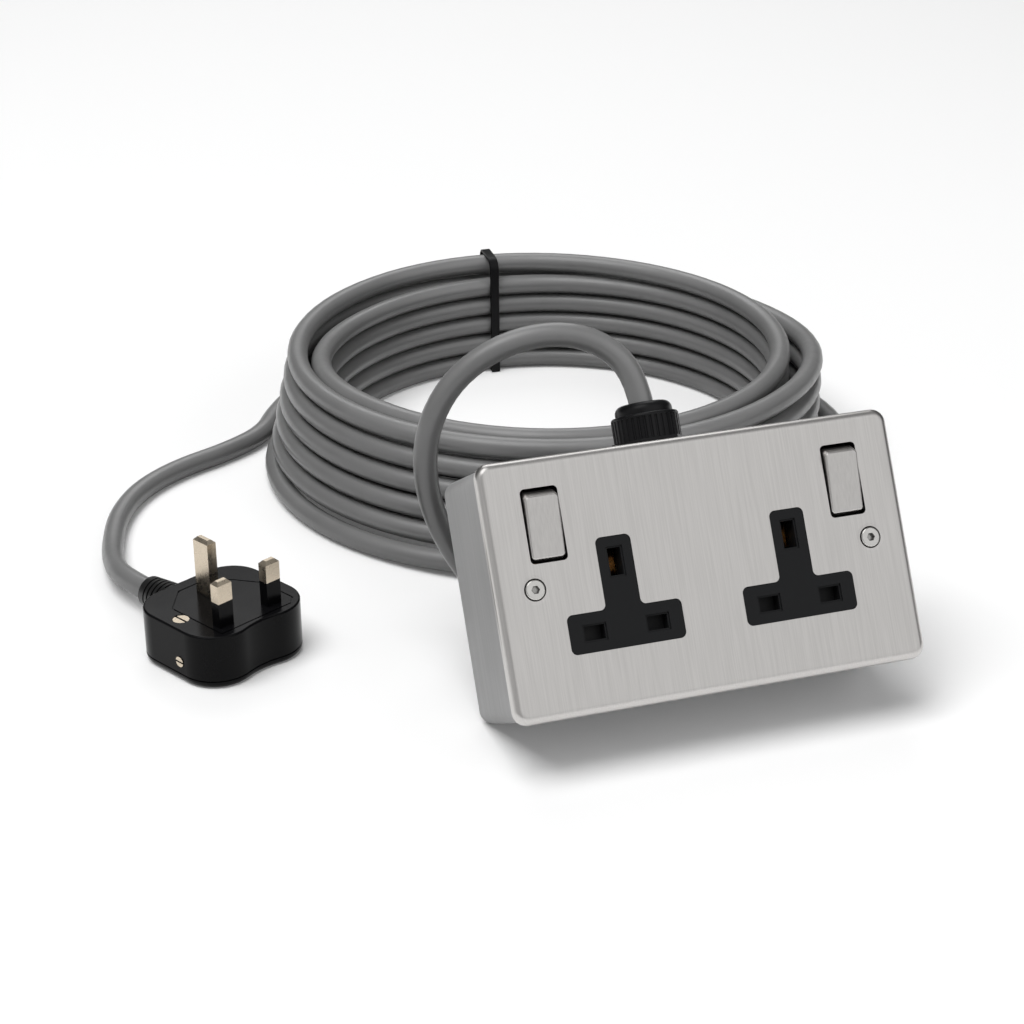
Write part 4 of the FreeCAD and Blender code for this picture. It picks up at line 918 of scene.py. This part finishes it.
@dataclass
class MainsCord:
    """The whole cord on one line: gland, loop, coil and lead to the plug.

    The coil has two nested columns with the same number of levels. The cord comes in on the floor,
    climbs the inner column, crosses to the outer one and comes down. There it climbs over the cord
    that comes in, lies down along the coil's outside and leaves for the plug.

    Attributes:
        diameter: across the jacket.
        length: in metres, as the record gives it.
        smoothness: how finely the curve and its round section are divided.
        order: the curve's order. At 3 it touches each line between two points in its middle.
        turn_gap: the air between two levels.
        levels: turns over one another.
        first_quarter: the angle of a turn's first station, at its far right.
        coil_start: the angle where the cord joins the inner column.
        coil_end: the angle where it leaves the outside.
        inner_centre: the inner column's middle.
        inner_r: its radius.
        inner_deep: its stretch along y.
        outer_centre: the middle of the outer column's top turn.
        outer_r: the radius of that turn.
        flare_r: how much wider each lower turn is.
        flare_shift: how far its middle moves.
        base_out: how far the lowest turn bulges at its near left.
        hump_r: how far the cord swings out where it climbs over the cord that comes in.
        hump_h: how high it climbs there.
        outside_step: how far the last stretch lies outside the lowest turn.
        point_degrees: the angle between two control points.
        fewest_points: the least number of them between two stations.
        gland_straight: how far the cord stays straight over the gland.
        coil_run_in: how far it runs straight before the coil, besides its diameter.
        coil_run_out: how far it runs straight after the coil, besides its diameter.
        plug_straight: how far it stays straight at the plug.
        loop: points from the gland over the loop and down behind the box.
        floor_to_coil: points on the floor from there to the coil.
        floor_to_plug: points on the floor from the coil to the plug.
        plug_rise: the point where the cord rises to the plug.
    """

    diameter: float = 8.6
    length: float = 8.23
    smoothness: int = 5
    order: int = 3
    turn_gap: float = 0.45
    levels: int = 6
    first_quarter: float = 34.0
    coil_start: float = 338.0
    coil_end: float = 120.0
    inner_centre: Flat = (23.4, 210.9)
    inner_r: float = 96.7
    inner_deep: float = 1.024
    outer_centre: Flat = (25.4, 210.4)
    outer_r: float = 108.7
    flare_r: float = 0.86
    flare_shift: Flat = (-1.36, -0.5)
    base_out: float = 2.5
    hump_r: float = 16.0
    hump_h: float = 10.5
    outside_step: float = 10.7
    point_degrees: float = 22.5
    fewest_points: int = 3
    gland_straight: float = 15.0
    coil_run_in: float = 24.0
    coil_run_out: float = 19.2
    plug_straight: float = 16.0
    loop: tuple[Point, ...] = (
        (-11.0, 41.0, 116.5), (-26.5, 46.0, 123.0), (-47.5, 49.0, 120.5), (-65.5, 51.0, 109.0),
        (-75.0, 53.0, 91.0), (-76.0, 55.0, 70.0), (-70.5, 56.0, 48.5), (-57.0, 56.0, 24.0),
        (-38.0, 53.0, 9.5))
    floor_to_coil: tuple[Flat, ...] = (
        (-14.0, 48.0), (14.0, 46.0), (41.0, 49.0), (62.0, 60.0), (78.0, 79.0), (89.5, 102.0),
        (98.5, 126.5))
    floor_to_plug: tuple[Flat, ...] = (
        (-82.0, 281.0), (-92.5, 259.5), (-112.0, 246.0), (-134.5, 236.0), (-153.5, 220.0),
        (-165.5, 199.0), (-172.0, 175.0))
    plug_rise: Point = (-175.0, 153.0, 5.6)

    @property
    def radius(self) -> float:
        """Half the cord's diameter, which is its middle's height on the floor."""
        return self.diameter / 2

    @property
    def step(self) -> float:
        """How far a turn lies over the one below."""
        return self.diameter + self.turn_gap

    def quarters(self) -> tuple[float, ...]:
        """The angles of a turn's four stations: far right, far left, near left and near right."""
        return tuple(self.first_quarter + turned for turned in (0, 90, 180, 270))

    def inner_stations(self) -> list[Station]:
        """Follows the inner column from the coil's start on the floor up to its top turn.

        Returns:
            Its stations.
        """
        far_right, far_left, near_left, near_right = self.quarters()
        top = self.levels - 1
        loose_step = top * self.step / (top - 1)

        def reached(angle: float, z: float) -> Station:
            """A station of the column."""
            return Station(*self.inner_centre, self.inner_r, angle, z, self.inner_deep)

        found = [reached(self.coil_start, self.radius)]
        for level in range(self.levels):
            z = self.radius + level * self.step
            if level > 0:
                found.append(reached(near_right, z))
            found.append(reached(far_right, z))
            if level < top:
                found.append(reached(far_left, z))
                found.append(reached(near_left, self.radius + level * loose_step))
        return found

    def outer(self, level: int, wider: float = 0.0) -> tuple[float, float, float]:
        """Middle and radius of a turn of the outer column, which flares towards the floor.

        Args:
            level: the turn's number from the floor up.
            wider: how far the cord lies outside the turn.

        Returns:
            The middle's x and y, and the radius.
        """
        below = self.levels - 1 - level
        return (self.outer_centre[0] + self.flare_shift[0] * below,
                self.outer_centre[1] + self.flare_shift[1] * below,
                self.outer_r + self.flare_r * below + wider)

    def outer_stations(self) -> list[Station]:
        """Follows the outer column down, over the cord that comes in and along the coil's outside.

        Returns:
            Its stations.
        """
        far_right, far_left, near_left, near_right = self.quarters()
        top = self.levels - 1
        found = []
        for level in range(top, -1, -1):
            z = self.radius + level * self.step
            if level < top:
                found.append(Station(*self.outer(level), far_right, z))
            found.append(Station(*self.outer(level), far_left, z))
            found.append(Station(*self.outer(level, self.base_out if level == 0 else 0.0), near_left, z))
            if level > 0:
                found.append(Station(*self.outer(level), near_right, z))
        found.append(Station(*self.outer(0, self.hump_r), near_right, self.radius + self.hump_h))
        found.append(Station(*self.outer(0, self.outside_step), far_right, self.radius))
        found.append(Station(*self.outer(0, self.outside_step), self.coil_end, self.radius))
        return found

    def coil(self, stations: Sequence[Station]) -> list[Point]:
        """Works out the turns' control points, about sixteen for each turn.

        Args:
            stations: the coil's stations.

        Returns:
            The points, which stand outside the turns so that the curve touches them.
        """
        found: list[Point] = []
        for one, other in zip(stations, stations[1:]):
            sweep = (other.angle - one.angle) % 360
            count = max(self.fewest_points, round(sweep / self.point_degrees))
            outward = math.cos(math.radians(sweep / count / 2))
            for k in range(count):
                s = (k + 0.5) / count
                ease = 2 * s * s if s < 0.5 else 1 - 2 * (1 - s) ** 2
                x, y, radius, _, z, deep = (a + (b - a) * ease for a, b in zip(one, other))
                angle = math.radians(one.angle + sweep * s)
                reach = radius / outward
                found.append((x + reach * math.cos(angle), y + deep * reach * math.sin(angle), z))
        return found

    def straight_on(self, end: Station, ahead: float) -> Point:
        """A point straight on from an end of the coil.

        Args:
            end: the coil's first or last station.
            ahead: the distance, negative against the cord's way.

        Returns:
            The point.
        """
        angle = math.radians(end.angle)
        place = Vector((end.x + end.radius * math.cos(angle),
                        end.y + end.deep * end.radius * math.sin(angle), end.z))
        return tuple(place + Vector((-math.sin(angle), math.cos(angle), 0)) * ahead)

    def on_floor(self, points: Sequence[Flat]) -> list[Point]:
        """Lays points on the floor, at the height of the cord's middle."""
        return [(*point, self.radius) for point in points]

    def route(self) -> list[Point]:
        """Lists every control point from the gland to the plug's relief.

        Returns:
            The points.
        """
        gland = Gland()
        plug = Plug()
        leave = gland.at(gland.cord_start)
        rise = Vector((0, math.sin(TILT), math.cos(TILT))) * self.gland_straight
        stations = self.inner_stations() + self.outer_stations()
        return [tuple(leave), tuple(leave + rise), *self.loop, *self.on_floor(self.floor_to_coil),
                self.straight_on(stations[0], -(self.diameter + self.coil_run_in)),
                *self.coil(stations),
                self.straight_on(stations[-1], self.diameter + self.coil_run_out),
                *self.on_floor(self.floor_to_plug), self.plug_rise,
                tuple(plug.laid(plug.mouth_a - self.plug_straight, 0, plug.cord_z)),
                tuple(plug.laid(plug.mouth_a, 0, plug.cord_z))]

    def build(self, wardrobe: Wardrobe) -> bpy.types.Object:
        """Draws the cord as one smooth curve.

        Args:
            wardrobe: where finishes come from.

        Returns:
            The curve.
        """
        curve = bpy.data.curves.new("mains_cord", "CURVE")
        curve.dimensions = "3D"
        curve.resolution_u = self.smoothness
        curve.bevel_depth = self.radius * MM
        curve.bevel_resolution = self.smoothness
        curve.use_fill_caps = True
        route = self.route()
        spline = curve.splines.new("NURBS")
        spline.points.add(len(route) - 1)
        for place, point in zip(spline.points, route):
            place.co = (*(c * MM for c in point), 1.0)
        spline.order_u = self.order
        spline.use_endpoint_u = True
        made = bpy.data.objects.new("mains_cord", curve)
        bpy.context.collection.objects.link(made)
        wardrobe.add(made, JACKET, "cord_grey")
        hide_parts("cord_from_box", "cord_coil", "cord_to_plug")
        return made


class Block(NamedTuple):
    """A block's half sizes along and across the tie, its height and how far its edges are cut."""

    half_long: float
    half_wide: float
    high: float
    cut: float


@dataclass
class CableTie:
    """Nylon tie, taut over the coil's top turns and down to the outside end, with its head and tail.

    Attributes:
        centre: the point on the floor that its radii start from.
        angle: the angle where it crosses the coil.
        width: of the band.
        thick: of the band.
        edge_in: how far the band's outside is narrower at each edge.
        near_r: the band's radius at the coil's inside.
        top_r: its radius over the outer column's top turn.
        foot_r: its radius at the outside end on the floor.
        foot_in: how far it turns in below that end.
        top: the height of its inside over the top turns.
        under: the air between the band and the floor.
        cord_r: the cord's radius.
        snug: the radius of its bends over the cord.
        snug_steps: straight steps in each of these bends.
        head: the head's sizes.
        head_sunk: the share of the band's thickness that the head is sunk in it.
        tail_long: how far the cut tail stands out.
        tail_in: how much narrower than the band it is at each edge.
        tail_cut: how far its edges are cut.
        tail_place: the share of the head's height that it comes out at.
        half_cut: the share of a cut at which a block's edge has its middle row.
        corners: a block's corners, going round: 1 lies at the side and 0.5 a cut short of it.
    """

    centre: Flat = (23.4, 211.6)
    angle: float = 87.0
    width: float = 4.2
    thick: float = 0.9
    edge_in: float = 0.3
    near_r: float = 93.0
    top_r: float = 112.4
    foot_r: float = 124.9
    foot_in: float = 0.6
    top: float = 54.15
    under: float = 0.05
    cord_r: float = MainsCord.diameter / 2
    snug: float = MainsCord.diameter / 2
    snug_steps: int = 5
    head: Block = Block(4.0, 4.0, 4.5, 1.2)
    head_sunk: float = 0.5
    tail_long: float = 7.0
    tail_in: float = 0.2
    tail_cut: float = 0.3
    tail_place: float = 0.55
    half_cut: float = 0.3
    corners: tuple[Flat, ...] = ((1, -0.5), (1, 0.5), (0.5, 1), (-0.5, 1),
                                 (-1, 0.5), (-1, -0.5), (-0.5, -1), (0.5, -1))

    def at(self, r: float, side: float, z: float) -> Vector:
        """A point from its radius, its place across the band and its height."""
        turn = math.radians(self.angle)
        return Vector((self.centre[0] + r * math.cos(turn) - side * math.sin(turn),
                       self.centre[1] + r * math.sin(turn) + side * math.cos(turn), z))

    def rim(self) -> list[Flat]:
        """Follows the band's inner outline once round.

        Returns:
            Its points as radius and height.
        """
        low = self.thick + self.under
        high = self.top - self.snug
        turns = [math.pi / 2 * i / self.snug_steps for i in range(self.snug_steps + 1)]
        found = [(self.near_r, low)]
        for t in turns:
            found.append((self.near_r + self.snug * (1 - math.cos(t)), high + self.snug * math.sin(t)))
        for t in turns:
            found.append((self.top_r - self.snug * (1 - math.sin(t)), high + self.snug * math.cos(t)))
        return [*found, (self.foot_r, self.cord_r), (self.foot_r - self.foot_in, low)]

    def band(self, mesher: Mesher) -> None:
        """Lays the flat band along the outline.

        Args:
            mesher: what it is added to.
        """
        rim = self.rim()
        half = self.width / 2
        narrow = half - self.edge_in
        rings = []
        for i, (r, z) in enumerate(rim):
            before, after = rim[i - 1], rim[(i + 1) % len(rim)]
            ahead = Vector((after[0] - r, after[1] - z)).normalized()
            back = Vector((r - before[0], z - before[1])).normalized()
            out = Vector((-(ahead.y + back.y), ahead.x + back.x)).normalized() * self.thick
            rings.append(mesher.ring([self.at(r, -half, z), self.at(r + out.x, -narrow, z + out.y),
                                      self.at(r + out.x, narrow, z + out.y), self.at(r, half, z)]))
        mesher.skin([*rings, rings[0]], closed=False)

    def stand(self, mesher: Mesher, foot: Vector, along: Vector, out: Vector, block: Block) -> None:
        """Adds a block with soft edges.

        Args:
            mesher: what it is added to.
            foot: the middle of its foot as radius and height.
            along: its long direction in the same plane.
            out: the direction that it rises in.
            block: its sizes.
        """
        cut, high = block.cut, block.high
        part = cut * self.half_cut
        rings = []
        for rise, inset in ((0.0, 0.0), (high - cut, 0.0), (high - part, part), (high, cut)):
            ring = []
            for u, v in self.corners:
                reach_u = block.half_long - inset - (0.0 if abs(u) == 1 else cut)
                reach_v = block.half_wide - inset - (0.0 if abs(v) == 1 else cut)
                place = foot + along * math.copysign(reach_u, u) + out * rise
                ring.append(self.at(place.x, math.copysign(reach_v, v), place.y))
            rings.append(mesher.ring(ring))
        mesher.skin(rings)

    def build(self, wardrobe: Wardrobe) -> bpy.types.Object:
        """Builds and dresses the tie.

        Args:
            wardrobe: where finishes come from.

        Returns:
            The tie.
        """
        mesher = Mesher("coil_tie")
        self.band(mesher)
        down = Vector((self.foot_r - self.top_r, self.cord_r - self.top + self.snug)).normalized()
        out = Vector((-down.y, down.x))
        foot = Vector(((self.top_r + self.foot_r) / 2, (self.top - self.snug + self.cord_r) / 2))
        foot += out * self.thick * self.head_sunk
        self.stand(mesher, foot, down, out, self.head)
        tail = Block(self.thick / 2, self.width / 2 - self.tail_in, self.tail_long, self.tail_cut)
        self.stand(mesher, foot + out * self.head.high * self.tail_place, out, -down, tail)
        made = mesher.build()
        wardrobe.add(made, TIE_BLACK, "tie_nylon")
        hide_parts("cable_tie")
        return made


def main() -> None:
    """Builds the studio and each sub-assembly in order."""
    logging.basicConfig(level=logging.INFO, format="%(message)s")
    wardrobe = Wardrobe()
    Studio().build()
    cord = MainsCord()
    line = cord.build(wardrobe)
    plug_pieces = Plug().build(wardrobe)
    tie = CableTie().build(wardrobe)
    SocketBox().build(wardrobe)
    gland = Gland()
    gland.build(wardrobe)


if __name__ == "__main__":
    main()
